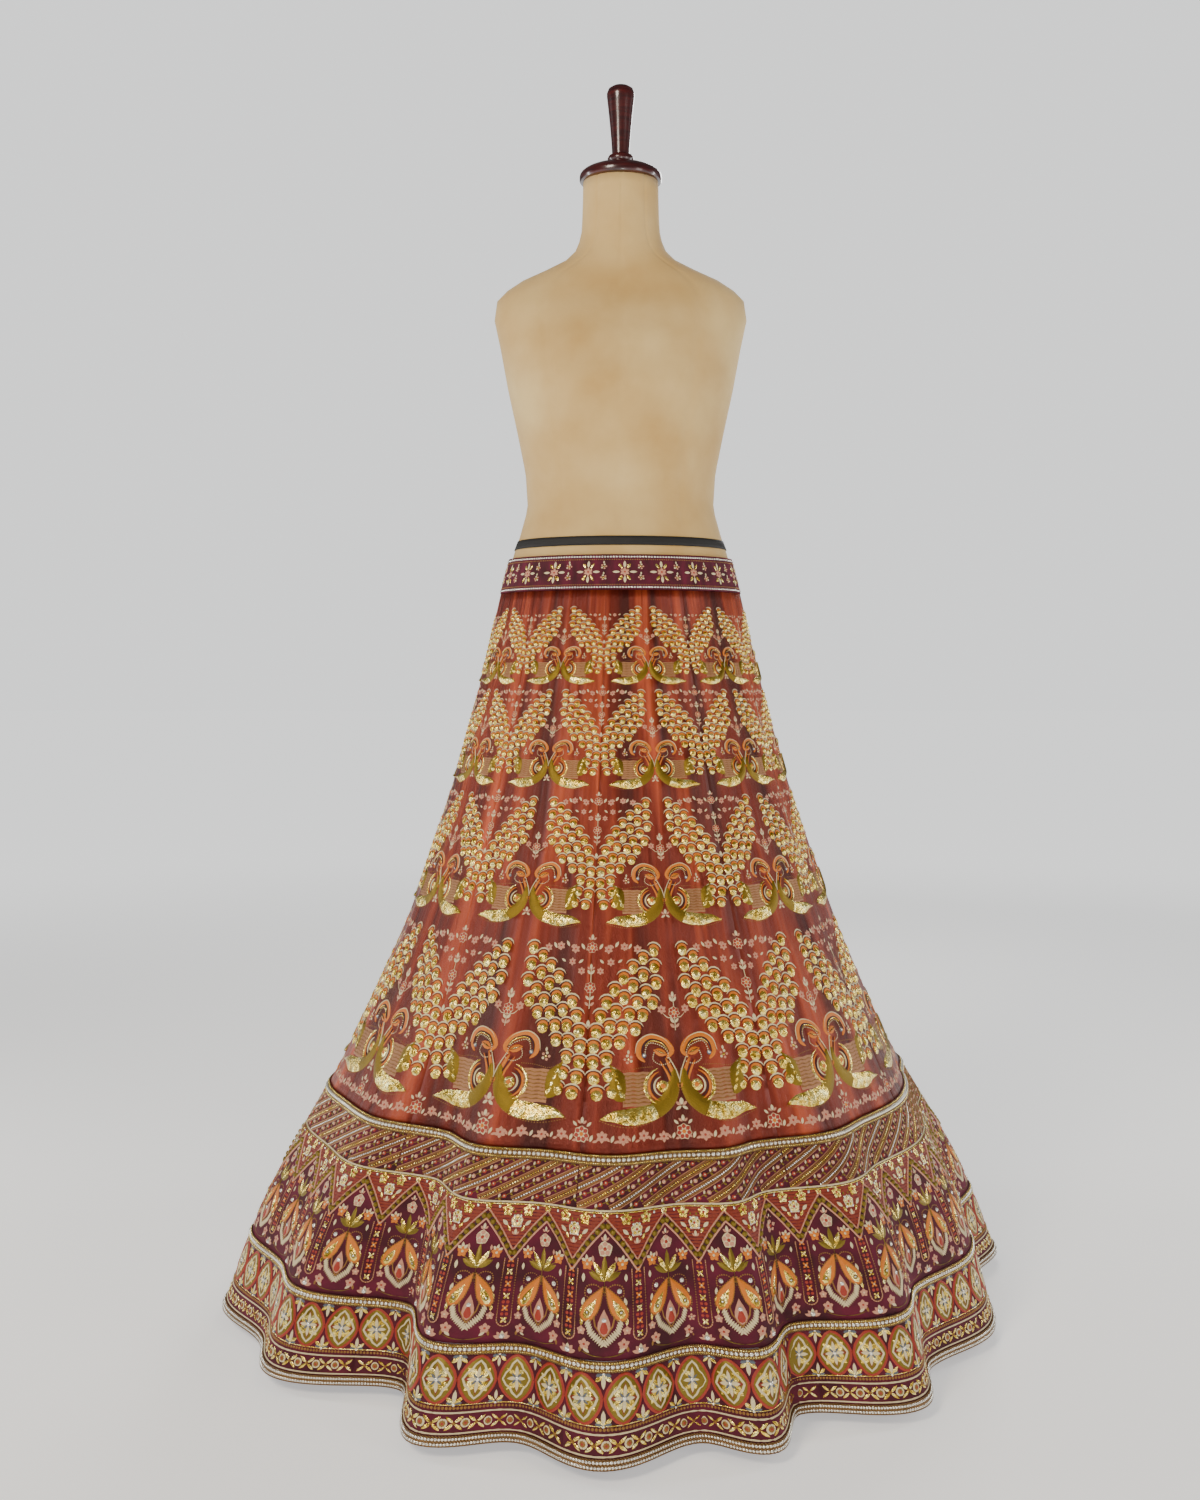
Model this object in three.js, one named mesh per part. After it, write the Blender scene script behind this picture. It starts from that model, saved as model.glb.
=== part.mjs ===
// Lehenga skirt on a limbless dress form. Millimetres, +Z up, the form faces -Y.
// Ten flared gores (kalis) hang from a waistband. Below them run a striped band, a panel of
// arches and a hem band of medallions, one of each to a kali, with three braids over the joins.
// Every cloth piece is a thin wall on one surface, which a waist-to-hem cut and a table of folds give.

import * as THREE from 'three';

// ---------------------------------------------------------------- driving dimensions

const KALIS = 10;
const STATIONS_PER_KALI = 9; // steps round the skirt in one kali
const FIRST_SEAM = -7.3; // degrees from the front, positive towards +X
const SEAM_GAP = 0.3; // between one piece and the next
const CLOTH = 1.8; // wall of a kali with its backing
const VELVET = 2.0; // wall of the velvet bands
const WAISTBAND = 2.8; // two layers of velvet on canvas
const BRAID = 1.5; // zari braid, sewn over a join
const BRAID_LIFT = 0.4; // from the cloth to the braid's back

const HEM_CLEARANCE = 15; // hem above the floor
const FOLD_FADE = 1.35; // how fast a fold flattens towards its top

// Heights up the cloth, above the hem.
const HEM_BRAID_TOP = 12;
const ARCH_BRAID_BOTTOM = 98;
const HEM_BAND_TOP = 110;
const ARCH_TOP = 258;
const KALI_BRAID_BOTTOM = 304;
const STRIPE_TOP = 316;
const KALI_TOP = 1020;
const WAIST_TOP = 1070;

const KALI_ROWS = [STRIPE_TOP, 365, 425, 490, 560, 640, 735, 835, 935, KALI_TOP];
const STRIPE_ROWS = [ARCH_TOP, KALI_BRAID_BOTTOM, STRIPE_TOP];
const ARCH_ROWS = [HEM_BAND_TOP, 183, ARCH_TOP];
const HEM_ROWS = [0, HEM_BRAID_TOP, ARCH_BRAID_BOTTOM, HEM_BAND_TOP];

// The cut: half-width, front and back of the cloth's inside at each height above the hem.
const CUT = [
  { height: -20, side: 563, front: 563, back: 563 },
  { height: 0, side: 553, front: 552, back: 552 },
  { height: 70, side: 530, front: 532, back: 533 },
  { height: 148, side: 503, front: 508, back: 509 },
  { height: 237, side: 459, front: 463, back: 466 },
  { height: 341, side: 403, front: 407, back: 412 },
  { height: 462, side: 348, front: 346, back: 358 },
  { height: 550, side: 311, front: 301, back: 319 },
  { height: 651, side: 276, front: 257, back: 278 },
  { height: 752, side: 243, front: 218, back: 239 },
  { height: 863, side: 212, front: 178, back: 195 },
  { height: 945, side: 191, front: 150, back: 161 },
  { height: KALI_TOP, side: 174, front: 127, back: 134 },
  { height: WAIST_TOP, side: 161, front: 114.5, back: 120 },
  { height: 1090, side: 156, front: 111, back: 115 },
];

// The folds: crests (out > 0) and troughs (out < 0) at the hem, each with its angle from the front,
// its reach from the plain cut, the height where it has died away and its lean in degrees per 100 mm.
const FOLDS = [
  { angle: -177, out: 28, top: 520, lean: 0.4 },
  { angle: -168, out: -46, top: 430, lean: 0.2 },
  { angle: -156, out: 26, top: 560, lean: -0.3 },
  { angle: -146, out: -24, top: 360, lean: -0.3 },
  { angle: -133, out: 33, top: 600, lean: 0.2 },
  { angle: -119, out: -52, top: 500, lean: 0.5 },
  { angle: -105, out: 20, top: 420, lean: 0.4 },
  { angle: -93, out: -22, top: 380, lean: 0.1 },
  { angle: -79, out: 25, top: 560, lean: 0 },
  { angle: -64, out: -10, top: 330, lean: 0.3 },
  { angle: -54, out: 15, top: 420, lean: 0.3 },
  { angle: -36.5, out: -80, top: 520, lean: 0.3 },
  { angle: -24.8, out: 27, top: 600, lean: 0.2 },
  { angle: -14, out: -18, top: 300, lean: 0 },
  { angle: -3, out: 36, top: 620, lean: 0.1 },
  { angle: 9.5, out: -26, top: 380, lean: -0.2 },
  { angle: 17.2, out: 20, top: 440, lean: -0.2 },
  { angle: 25.5, out: -58, top: 470, lean: -0.3 },
  { angle: 40, out: 14, top: 560, lean: -0.2 },
  { angle: 52, out: -44, top: 430, lean: -0.4 },
  { angle: 69, out: -6, top: 520, lean: -0.3 },
  { angle: 88, out: -30, top: 400, lean: -0.2 },
  { angle: 103, out: 52, top: 600, lean: 0 },
  { angle: 116, out: -34, top: 440, lean: 0.2 },
  { angle: 127, out: 22, top: 520, lean: 0.3 },
  { angle: 141, out: -50, top: 480, lean: 0.1 },
  { angle: 155, out: 30, top: 580, lean: -0.2 },
  { angle: 169, out: -20, top: 360, lean: -0.1 },
];

// The dress form, heights above the floor. Its neck leans forward by the middle column.
const NECK_TOP = 1628;
const NECK_LEAN = 9;
const FORM = [
  { height: 800, side: 166, front: 108, back: 116, middle: 0 },
  { height: 850, side: 174, front: 114, back: 126, middle: 0 },
  { height: 910, side: 178, front: 118, back: 131, middle: 0 },
  { height: 970, side: 176, front: 120, back: 130, middle: 0 },
  { height: 1030, side: 169, front: 118, back: 125, middle: 0 },
  { height: 1085, side: 159, front: 113, back: 118, middle: 0 },
  { height: 1099, side: 154.5, front: 111, back: 114, middle: 0 },
  { height: 1112, side: 149.5, front: 109, back: 110, middle: 0 },
  { height: 1160, side: 136, front: 102, back: 96, middle: 0 },
  { height: 1210, side: 139, front: 106, back: 95, middle: 0 },
  { height: 1270, side: 151, front: 118, back: 101, middle: 0 },
  { height: 1330, side: 164, front: 124, back: 107, middle: 0 },
  { height: 1390, side: 175, front: 112, back: 110, middle: 0 },
  { height: 1432, side: 184, front: 94, back: 104, middle: 0 },
  { height: 1460, side: 180, front: 79, back: 95, middle: 0 },
  { height: 1482, side: 158, front: 70, back: 85, middle: 0 },
  { height: 1500, side: 116, front: 63, back: 75, middle: 1 },
  { height: 1515, side: 83, front: 60, back: 68, middle: 2 },
  { height: 1533, side: 63, front: 57, back: 61, middle: 4 },
  { height: 1560, side: 56.5, front: 55.5, back: 57, middle: 6 },
  { height: 1600, side: 55, front: 55, back: 55, middle: 8 },
  { height: NECK_TOP, side: 54.5, front: 54.5, back: 54.5, middle: NECK_LEAN },
];
const FORM_STATIONS = 48;
const TAPE_BOTTOM = 1099;
const TAPE_TOP = 1112;
const TAPE = 1.2;

const TURNED_SIDES = 40;
const BASE_RADIUS = 205;
const BASE_HEIGHT = 22;
const BASE_SIDES = 48;
const BASE_CHAMFER = 3; // at the foot
const BASE_SHOULDER = 8; // at the top
const BASE_CROWN = 2; // how far the top falls from the middle to its shoulder
const BASE_FLAT = 40; // radius of the flat round the pole
const POLE_RADIUS = 15;
const POLE_SIDES = 24;

// Turned profiles from the bottom up, each closed on the axis.
const CAP_PROFILE = [
  { radius: 56, height: 0 },
  { radius: 59, height: 2 },
  { radius: 59.5, height: 5 },
  { radius: 58, height: 8.5 },
  { radius: 54, height: 11 },
  { radius: 46, height: 14.5 },
  { radius: 34, height: 19.5 },
  { radius: 23, height: 24.5 },
  { radius: 17.5, height: 27 },
];
const BEAD_PROFILE = [
  { radius: 14, height: 0 },
  { radius: 18, height: 3 },
  { radius: 19, height: 6.5 },
  { radius: 18, height: 10 },
  { radius: 13, height: 13 },
];
const HANDLE_PROFILE = [
  { radius: 12.5, height: 0 },
  { radius: 13, height: 10 },
  { radius: 14.5, height: 32 },
  { radius: 17, height: 62 },
  { radius: 19.5, height: 88 },
  { radius: 20, height: 93 },
  { radius: 18.5, height: 96 },
  { radius: 12, height: 97.5 },
  { radius: 2, height: 98 },
];
const BASE_PROFILE = [
  { radius: BASE_RADIUS - BASE_CHAMFER, height: 0 },
  { radius: BASE_RADIUS, height: BASE_CHAMFER },
  { radius: BASE_RADIUS, height: BASE_HEIGHT - BASE_SHOULDER },
  { radius: BASE_RADIUS - BASE_SHOULDER, height: BASE_HEIGHT - BASE_CROWN },
  { radius: BASE_FLAT, height: BASE_HEIGHT },
];

// ---------------------------------------------------------------- materials

const COLOURS = {
  rust_velvet: 0x8a3a2b,
  maroon_velvet: 0x5a0b25,
  zari: 0xb89a54,
  cover: 0xcdb48a,
  tape: 0x17120f,
  lacquer: 0x2a0a0c,
  iron: 0x26272a,
};

function finish(colour, roughness, metalness = 0) {
  return new THREE.MeshStandardMaterial({ color: colour, roughness, metalness });
}

const object = new THREE.Group();

function add(name, geometry, material) {
  const mesh = new THREE.Mesh(geometry, material);
  mesh.name = name;
  object.add(mesh);
  return mesh;
}

// ---------------------------------------------------------------- curves through the tables

// A smooth value of one column at a height, through every row of a table.
function columnAt(rows, height, column) {
  let i = 0;
  while (i < rows.length - 2 && height > rows[i + 1].height) i += 1;
  const [a, b] = [rows[i], rows[i + 1]];
  const before = rows[Math.max(i - 1, 0)];
  const after = rows[Math.min(i + 2, rows.length - 1)];
  const span = b.height - a.height;
  const slopeA = (b[column] - before[column]) / (b.height - before.height);
  const slopeB = (after[column] - a[column]) / (after.height - a.height);
  const t = (height - a.height) / span;
  const t2 = t * t;
  const t3 = t2 * t;
  return (2 * t3 - 3 * t2 + 1) * a[column] + (t3 - 2 * t2 + t) * span * slopeA
    + (3 * t2 - 2 * t3) * b[column] + (t3 - t2) * span * slopeB;
}

// How far the folds carry the cloth out of its plain cut.
function foldReach(angle, height) {
  const rows = FOLDS.map((fold) => ({
    angle: fold.angle + (fold.lean * height) / 100,
    reach: fold.out * Math.max(0, 1 - height / fold.top) ** FOLD_FADE,
  }));
  const turn = ((((angle - rows[0].angle) % 360) + 360) % 360) + rows[0].angle;
  let i = 0;
  while (i < rows.length - 1 && turn >= rows[i + 1].angle) i += 1;
  const a = rows[i];
  const next = rows[(i + 1) % rows.length];
  const nextAngle = next.angle + (i + 1 === rows.length ? 360 : 0);
  const t = (turn - a.angle) / (nextAngle - a.angle);
  return a.reach + ((next.reach - a.reach) * (1 - Math.cos(Math.PI * t))) / 2;
}

// ---------------------------------------------------------------- the skirt's surface

// A point on the cloth's inside: angle in degrees round from the front, height above the hem.
function clothPoint(angle, height) {
  const turn = THREE.MathUtils.degToRad(angle);
  const depth = Math.cos(turn) >= 0 ? columnAt(CUT, height, 'front') : columnAt(CUT, height, 'back');
  const reach = foldReach(angle, height);
  return new THREE.Vector3(
    (columnAt(CUT, height, 'side') + reach) * Math.sin(turn),
    -(depth + reach) * Math.cos(turn),
    height + HEM_CLEARANCE,
  );
}

// The same point moved straight out of the cloth by lift.
function liftedPoint(angle, height, lift) {
  const step = 1.5;
  const across = clothPoint(angle + step, height).sub(clothPoint(angle - step, height));
  const up = clothPoint(angle, height + step).sub(clothPoint(angle, height - step));
  const outward = across.cross(up).normalize();
  return clothPoint(angle, height).addScaledVector(outward, lift);
}

// A closed wall between two faces of the same grid of points. Each face is [row][station].
function wall(inside, outside, closedRound) {
  const rows = inside.length;
  const stations = inside[0].length;
  const positions = [];
  for (const face of [inside, outside]) {
    for (const row of face) {
      for (const point of row) positions.push(point.x, point.y, point.z);
    }
  }
  const corner = (face, row, station) => face * rows * stations + row * stations + (station % stations);
  const triangles = [];
  const quad = (a, b, c, d) => triangles.push(a, b, c, a, c, d);
  const spans = closedRound ? stations : stations - 1;
  for (let row = 0; row < rows - 1; row += 1) {
    for (let s = 0; s < spans; s += 1) {
      quad(corner(1, row, s), corner(1, row, s + 1), corner(1, row + 1, s + 1), corner(1, row + 1, s));
      quad(corner(0, row, s), corner(0, row + 1, s), corner(0, row + 1, s + 1), corner(0, row, s + 1));
    }
    if (!closedRound) {
      const last = stations - 1;
      quad(corner(0, row, 0), corner(1, row, 0), corner(1, row + 1, 0), corner(0, row + 1, 0));
      quad(corner(1, row, last), corner(0, row, last), corner(0, row + 1, last), corner(1, row + 1, last));
    }
  }
  for (let s = 0; s < spans; s += 1) {
    const top = rows - 1;
    quad(corner(0, 0, s), corner(0, 0, s + 1), corner(1, 0, s + 1), corner(1, 0, s));
    quad(corner(1, top, s), corner(1, top, s + 1), corner(0, top, s + 1), corner(0, top, s));
  }
  const geometry = new THREE.BufferGeometry();
  geometry.setAttribute('position', new THREE.Float32BufferAttribute(positions, 3));
  geometry.setIndex(triangles);
  geometry.computeVertexNormals();
  return geometry;
}

// Cloth between two angles and over the given heights, from lift to lift + thickness.
function clothWall(angles, heights, lift, thickness, closedRound = false) {
  const face = (out) => heights.map((height) => angles.map((angle) => liftedPoint(angle, height, out)));
  return wall(face(lift), face(lift + thickness), closedRound);
}

const KALI_ANGLE = 360 / KALIS;

// The stations of one kali, drawn in at both seams by half the gap.
function kaliAngles(kali, radius) {
  const inset = THREE.MathUtils.radToDeg(SEAM_GAP / 2 / radius);
  const first = FIRST_SEAM + kali * KALI_ANGLE;
  return Array.from({ length: STATIONS_PER_KALI + 1 }, (_, s) => {
    const angle = first + (KALI_ANGLE * s) / STATIONS_PER_KALI;
    if (s === 0) return angle + inset;
    if (s === STATIONS_PER_KALI) return angle - inset;
    return angle;
  });
}

const ROUND_STATIONS = KALIS * STATIONS_PER_KALI;
const roundAngles = Array.from({ length: ROUND_STATIONS }, (_, s) => FIRST_SEAM + (360 * s) / ROUND_STATIONS);

// A piece's heights, drawn in at its foot by the gap to the piece below.
function fromAbove(heights) {
  return heights.map((height, i) => (i === 0 ? height + SEAM_GAP : height));
}

// ---------------------------------------------------------------- kalis and their bands

const rustVelvet = finish(COLOURS.rust_velvet, 0.55);
const maroonVelvet = finish(COLOURS.maroon_velvet, 0.8);
const NARROWEST = 128; // the smallest radius a kali reaches, at the waist
const BAND_RADIUS = 440; // the smallest radius of the bands

for (let kali = 0; kali < KALIS; kali += 1) {
  const number = String(kali + 1).padStart(2, '0');
  const goreAngles = kaliAngles(kali, NARROWEST);
  const bandAngles = kaliAngles(kali, BAND_RADIUS);
  add(`kali_${number}`, clothWall(goreAngles, fromAbove(KALI_ROWS), 0, CLOTH), rustVelvet);
  add(`stripe_band_${number}`, clothWall(bandAngles, fromAbove(STRIPE_ROWS), 0, VELVET), maroonVelvet);
  add(`arch_panel_${number}`, clothWall(bandAngles, fromAbove(ARCH_ROWS), 0, VELVET), maroonVelvet);
  add(`hem_band_${number}`, clothWall(bandAngles, HEM_ROWS, 0, VELVET), maroonVelvet);
}

// ---------------------------------------------------------------- braids

const zari = finish(COLOURS.zari, 0.45, 0.5);
const braidBack = VELVET + BRAID_LIFT;

function braid(name, bottom, top) {
  return add(name, clothWall(roundAngles, [bottom, top], braidBack, BRAID, true), zari);
}

braid('kali_braid', KALI_BRAID_BOTTOM, STRIPE_TOP);
braid('arch_braid', ARCH_BRAID_BOTTOM, HEM_BAND_TOP);
braid('hem_braid', 0, HEM_BRAID_TOP);

// ---------------------------------------------------------------- waistband

const waistAngles = roundAngles.filter((_, s) => s % 2 === 0);
const waistRows = [KALI_TOP + SEAM_GAP, WAIST_TOP];
add('waistband', clothWall(waistAngles, waistRows, 0, WAISTBAND, true), maroonVelvet);

// ---------------------------------------------------------------- dress form

// A point on the form's cover: angle in degrees from the front, height above the floor.
function formPoint(angle, height, lift) {
  const turn = THREE.MathUtils.degToRad(angle);
  const depth = columnAt(FORM, height, Math.cos(turn) >= 0 ? 'front' : 'back');
  return new THREE.Vector3(
    (columnAt(FORM, height, 'side') + lift) * Math.sin(turn),
    -(depth + lift) * Math.cos(turn) - columnAt(FORM, height, 'middle'),
    height,
  );
}

const formAngles = Array.from({ length: FORM_STATIONS }, (_, s) => (360 * s) / FORM_STATIONS);

// The torso and neck in one padded, covered body: rings joined by bands, closed by a fan at each end.
function torsoGeometry() {
  const rings = FORM.map((row) => formAngles.map((angle) => formPoint(angle, row.height, 0)));
  const positions = rings.flat().flatMap((point) => [point.x, point.y, point.z]);
  const triangles = [];
  const corner = (ring, station) => ring * FORM_STATIONS + (station % FORM_STATIONS);
  for (let ring = 0; ring < rings.length - 1; ring += 1) {
    for (let s = 0; s < FORM_STATIONS; s += 1) {
      triangles.push(corner(ring, s), corner(ring, s + 1), corner(ring + 1, s + 1));
      triangles.push(corner(ring, s), corner(ring + 1, s + 1), corner(ring + 1, s));
    }
  }
  const ends = [
    { ring: 0, y: 0, facesUp: false },
    { ring: rings.length - 1, y: -NECK_LEAN, facesUp: true },
  ];
  for (const end of ends) {
    const centre = positions.length / 3;
    positions.push(0, end.y, FORM[end.ring].height);
    for (let s = 0; s < FORM_STATIONS; s += 1) {
      const [a, b] = [corner(end.ring, s), corner(end.ring, s + 1)];
      if (end.facesUp) triangles.push(centre, a, b);
      else triangles.push(centre, b, a);
    }
  }
  const geometry = new THREE.BufferGeometry();
  geometry.setAttribute('position', new THREE.Float32BufferAttribute(positions, 3));
  geometry.setIndex(triangles);
  geometry.computeVertexNormals();
  return geometry;
}

add('form_torso', torsoGeometry(), finish(COLOURS.cover, 0.85));

// The black tape that marks the form's waist, just above the waistband.
const tapeFace = (lift) => [TAPE_BOTTOM, TAPE_TOP].map(
  (height) => formAngles.map((angle) => formPoint(angle, height, lift)),
);
add('waist_tape', wall(tapeFace(SEAM_GAP), tapeFace(SEAM_GAP + TAPE), true), finish(COLOURS.tape, 0.7));

// ---------------------------------------------------------------- turned pieces

// A solid of revolution from the rows of a profile, closed on the axis at its first and last height.
function turned(profile, sides = TURNED_SIDES) {
  const points = profile.map((row) => new THREE.Vector2(row.radius, row.height));
  points.unshift(new THREE.Vector2(0, profile[0].height));
  points.push(new THREE.Vector2(0, profile[profile.length - 1].height));
  return new THREE.LatheGeometry(points, sides).rotateX(Math.PI / 2);
}

const lacquer = finish(COLOURS.lacquer, 0.18);

// Each stands on the one below it, a seam's gap above its top face.
const topOf = (profile) => profile[profile.length - 1].height;
const capBottom = NECK_TOP + SEAM_GAP;
const beadBottom = capBottom + topOf(CAP_PROFILE) + SEAM_GAP;
const handleBottom = beadBottom + topOf(BEAD_PROFILE) + SEAM_GAP;

const neckCap = add('neck_cap', turned(CAP_PROFILE), lacquer);
neckCap.position.set(0, -NECK_LEAN, capBottom);
const finialBead = add('finial_bead', turned(BEAD_PROFILE), lacquer);
finialBead.position.set(0, -NECK_LEAN, beadBottom);
const finialHandle = add('finial_handle', turned(HANDLE_PROFILE), lacquer);
finialHandle.position.set(0, -NECK_LEAN, handleBottom);

// ---------------------------------------------------------------- stand

const iron = finish(COLOURS.iron, 0.45, 0.6);
add('stand_base', turned(BASE_PROFILE, BASE_SIDES), iron);

const poleBottom = BASE_HEIGHT + SEAM_GAP;
const poleTop = FORM[0].height - SEAM_GAP;
const pole = new THREE.CylinderGeometry(POLE_RADIUS, POLE_RADIUS, poleTop - poleBottom, POLE_SIDES);
const standPole = add('stand_pole', pole.rotateX(Math.PI / 2), iron);
standPole.position.z = (poleTop + poleBottom) / 2;

// The origin is under the middle of the object's box, on the floor.
object.updateMatrixWorld(true);
const bounds = new THREE.Box3().setFromObject(object);
object.position.x = -(bounds.min.x + bounds.max.x) / 2;
object.position.y = -(bounds.min.y + bounds.max.y) / 2;

export default object;
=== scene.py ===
import math

import bpy
import numpy as np
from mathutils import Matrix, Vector


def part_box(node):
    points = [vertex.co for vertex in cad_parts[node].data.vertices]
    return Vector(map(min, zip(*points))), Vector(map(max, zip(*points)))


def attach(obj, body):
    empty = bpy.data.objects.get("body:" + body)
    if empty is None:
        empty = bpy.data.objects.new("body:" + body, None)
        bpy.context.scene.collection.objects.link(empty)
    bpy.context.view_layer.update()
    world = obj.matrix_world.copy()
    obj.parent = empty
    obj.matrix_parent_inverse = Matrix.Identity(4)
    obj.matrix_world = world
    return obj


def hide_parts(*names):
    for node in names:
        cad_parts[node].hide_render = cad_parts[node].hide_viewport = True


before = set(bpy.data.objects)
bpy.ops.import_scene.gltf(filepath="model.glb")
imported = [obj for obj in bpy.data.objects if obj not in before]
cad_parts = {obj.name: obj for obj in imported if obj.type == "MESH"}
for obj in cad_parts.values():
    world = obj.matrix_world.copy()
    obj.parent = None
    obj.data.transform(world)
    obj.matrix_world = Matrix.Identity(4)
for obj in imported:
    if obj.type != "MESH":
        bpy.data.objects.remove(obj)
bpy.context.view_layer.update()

# ---------------------------------------------------------------- camera, light and floor
# The eye stands 2.35 m in front of the form, a little above its waist, and looks slightly down.
# The floor is pale and plain, and it glows by itself, weakly near the middle and more strongly far out: painted light.
# Big soft lamps light it as in a studio, with two narrow ones for glints.

base_low, base_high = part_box("stand_base")
AXIS_X = (base_low[0] + base_high[0]) / 2
AXIS_Y = (base_low[1] + base_high[1]) / 2
EYE_HEIGHT = 0.915
EYE_DISTANCE = 2.35
EYE_ASIDE = -0.03

eye = bpy.data.cameras.new("eye")
eye.sensor_width = 36
eye.lens = 38.2
eye_object = bpy.data.objects.new("eye", eye)
eye_object.location = (AXIS_X + EYE_ASIDE, AXIS_Y - EYE_DISTANCE, EYE_HEIGHT)
eye_object.rotation_euler = (math.radians(90 - 2.65), 0, 0)
bpy.context.collection.objects.link(eye_object)
bpy.context.scene.camera = eye_object


def linear(hex_colour):
    """A hex sRGB colour as linear RGBA."""
    parts = [int(hex_colour[i:i + 2], 16) / 255 for i in (1, 3, 5)]
    return [c / 12.92 if c <= 0.04045 else ((c + 0.055) / 1.055) ** 2.4 for c in parts] + [1.0]


def lamp(name, place, target, size, watts, colour="#ffffff"):
    light = bpy.data.lights.new(name, "AREA")
    light.shape = "RECTANGLE"
    light.size, light.size_y = size
    light.energy = watts
    light.color = linear(colour)[:3]
    lamp_object = bpy.data.objects.new(name, light)
    lamp_object.location = place
    lamp_object.rotation_euler = (Vector(target) - Vector(place)).to_track_quat("-Z", "Y").to_euler()
    bpy.context.collection.objects.link(lamp_object)


lamp("key_lamp", (-1.5, -2.5, 2.6), (0, 0, 0.7), (0.8, 1.0), 66, "#fff3e2")
lamp("fill_lamp", (2.3, -1.9, 1.3), (0, 0, 0.6), (0.9, 1.4), 15, "#fff6ee")
lamp("front_lamp", (0.3, -3.2, 0.7), (0, 0, 0.35), (0.4, 0.9), 14, "#fff6ea")
lamp("back_lamp", (0.8, 2.8, 2.4), (0, 0, 0.8), (1.2, 1.2), 40)
lamp("left_strip", (-2.3, 0.4, 1.2), (0, 0, 0.6), (0.25, 1.6), 18)
lamp("right_strip", (2.4, 0.5, 1.2), (0, 0, 0.6), (0.25, 1.6), 18)

world = bpy.data.worlds.new("studio")
bpy.context.scene.world = world
world.use_nodes = True
walls = world.node_tree.nodes["Background"]
walls.inputs["Color"].default_value = linear("#e9eaea")
walls.inputs["Strength"].default_value = 0.15
seen = world.node_tree.nodes.new("ShaderNodeBackground")
seen.inputs["Color"].default_value = linear("#eceded")
seen.inputs["Strength"].default_value = 1.45
ray = world.node_tree.nodes.new("ShaderNodeLightPath")
either = world.node_tree.nodes.new("ShaderNodeMixShader")
world.node_tree.links.new(ray.outputs["Is Camera Ray"], either.inputs[0])
world.node_tree.links.new(walls.outputs["Background"], either.inputs[1])
world.node_tree.links.new(seen.outputs["Background"], either.inputs[2])
world.node_tree.links.new(either.outputs["Shader"], world.node_tree.nodes["World Output"].inputs["Surface"])


def add(material, kind, settings=None, **links):
    """Adds a node. A link's value is a number or colour, or a (node, output) pair."""
    tree = material.node_tree
    node = tree.nodes.new(kind)
    for key, value in (settings or {}).items():
        setattr(node, key, value)
    for key, value in links.items():
        socket = node.inputs[int(key[1:]) if key[0] == "i" and key[1:].isdigit() else key.replace("_", " ")]
        if isinstance(value, tuple) and isinstance(value[0], bpy.types.Node):
            tree.links.new(value[0].outputs[value[1]], socket)
        else:
            socket.default_value = value
    return node


def new_material(name):
    """An empty node material with its Principled shader, and the shader."""
    material = bpy.data.materials.new(name)
    material.use_nodes = True
    return material, material.node_tree.nodes["Principled BSDF"]


def fix(shader, **values):
    """Sets constant values on a shader's own sockets."""
    for key, value in values.items():
        shader.inputs[key.replace("_", " ")].default_value = value


bpy.ops.object.select_all(action="DESELECT")
bpy.ops.mesh.primitive_plane_add(size=80, location=(0, 0, 0))
floor = bpy.context.object
floor.name = "floor"
floor_paint, shader = new_material("matt_floor_paint")
grain = add(floor_paint, "ShaderNodeTexNoise", Scale=3.0, Detail=3.0)
tone = add(floor_paint, "ShaderNodeValToRGB", Fac=(grain, "Fac"))
tone.color_ramp.elements[0].color = linear("#f3f2ef")
tone.color_ramp.elements[1].color = linear("#f8f7f5")
floor_paint.node_tree.links.new(tone.outputs["Color"], shader.inputs["Base Color"])
# Painted light: the floor glows by itself, weakly near the middle and more strongly farther out.
from_middle = add(floor_paint, "ShaderNodeTexCoord")
away = add(floor_paint, "ShaderNodeVectorMath", {"operation": "LENGTH"}, i0=(from_middle, "Object"))
glow = add(floor_paint, "ShaderNodeMapRange", {"interpolation_type": "SMOOTHSTEP"}, Value=(away, "Value"), i1=1.2, i2=6.0,
           i3=0.6, i4=1.35)
floor_paint.node_tree.links.new(glow.outputs["Result"], shader.inputs["Emission Strength"])
fix(shader, Roughness=0.75, Emission_Color=linear("#eceded"))
floor.data.materials.append(floor_paint)

# ---------------------------------------------------------------- the skirt's shape
# The cloth hangs from the waistband in ten flared gores, the kalis, and breaks into deep folds at the hem.
# Its cut gives the half-width, front and back at each height above the hem, in mm, and each fold
# has an angle from the front, a reach at the hem, a height where it dies away and a lean per 100 mm.

MM = 0.001
HEM_CLEARANCE = 15.0
KALIS = 10
FIRST_SEAM = -7.3
KALI_ANGLE = 360 / KALIS
FOLD_FADE = 1.35

CUT = np.array([
    # height, side, front, back
    (-20, 563, 563, 563),
    (0, 553, 552, 552),
    (70, 530, 532, 533),
    (148, 503, 508, 509),
    (237, 459, 463, 466),
    (341, 403, 407, 412),
    (462, 348, 346, 358),
    (550, 311, 301, 319),
    (651, 276, 257, 278),
    (752, 243, 218, 239),
    (863, 212, 178, 195),
    (945, 191, 150, 161),
    (1020, 174, 127, 134),
    (1070, 161, 114.5, 120),
    (1090, 156, 111, 115),
], float)

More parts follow.
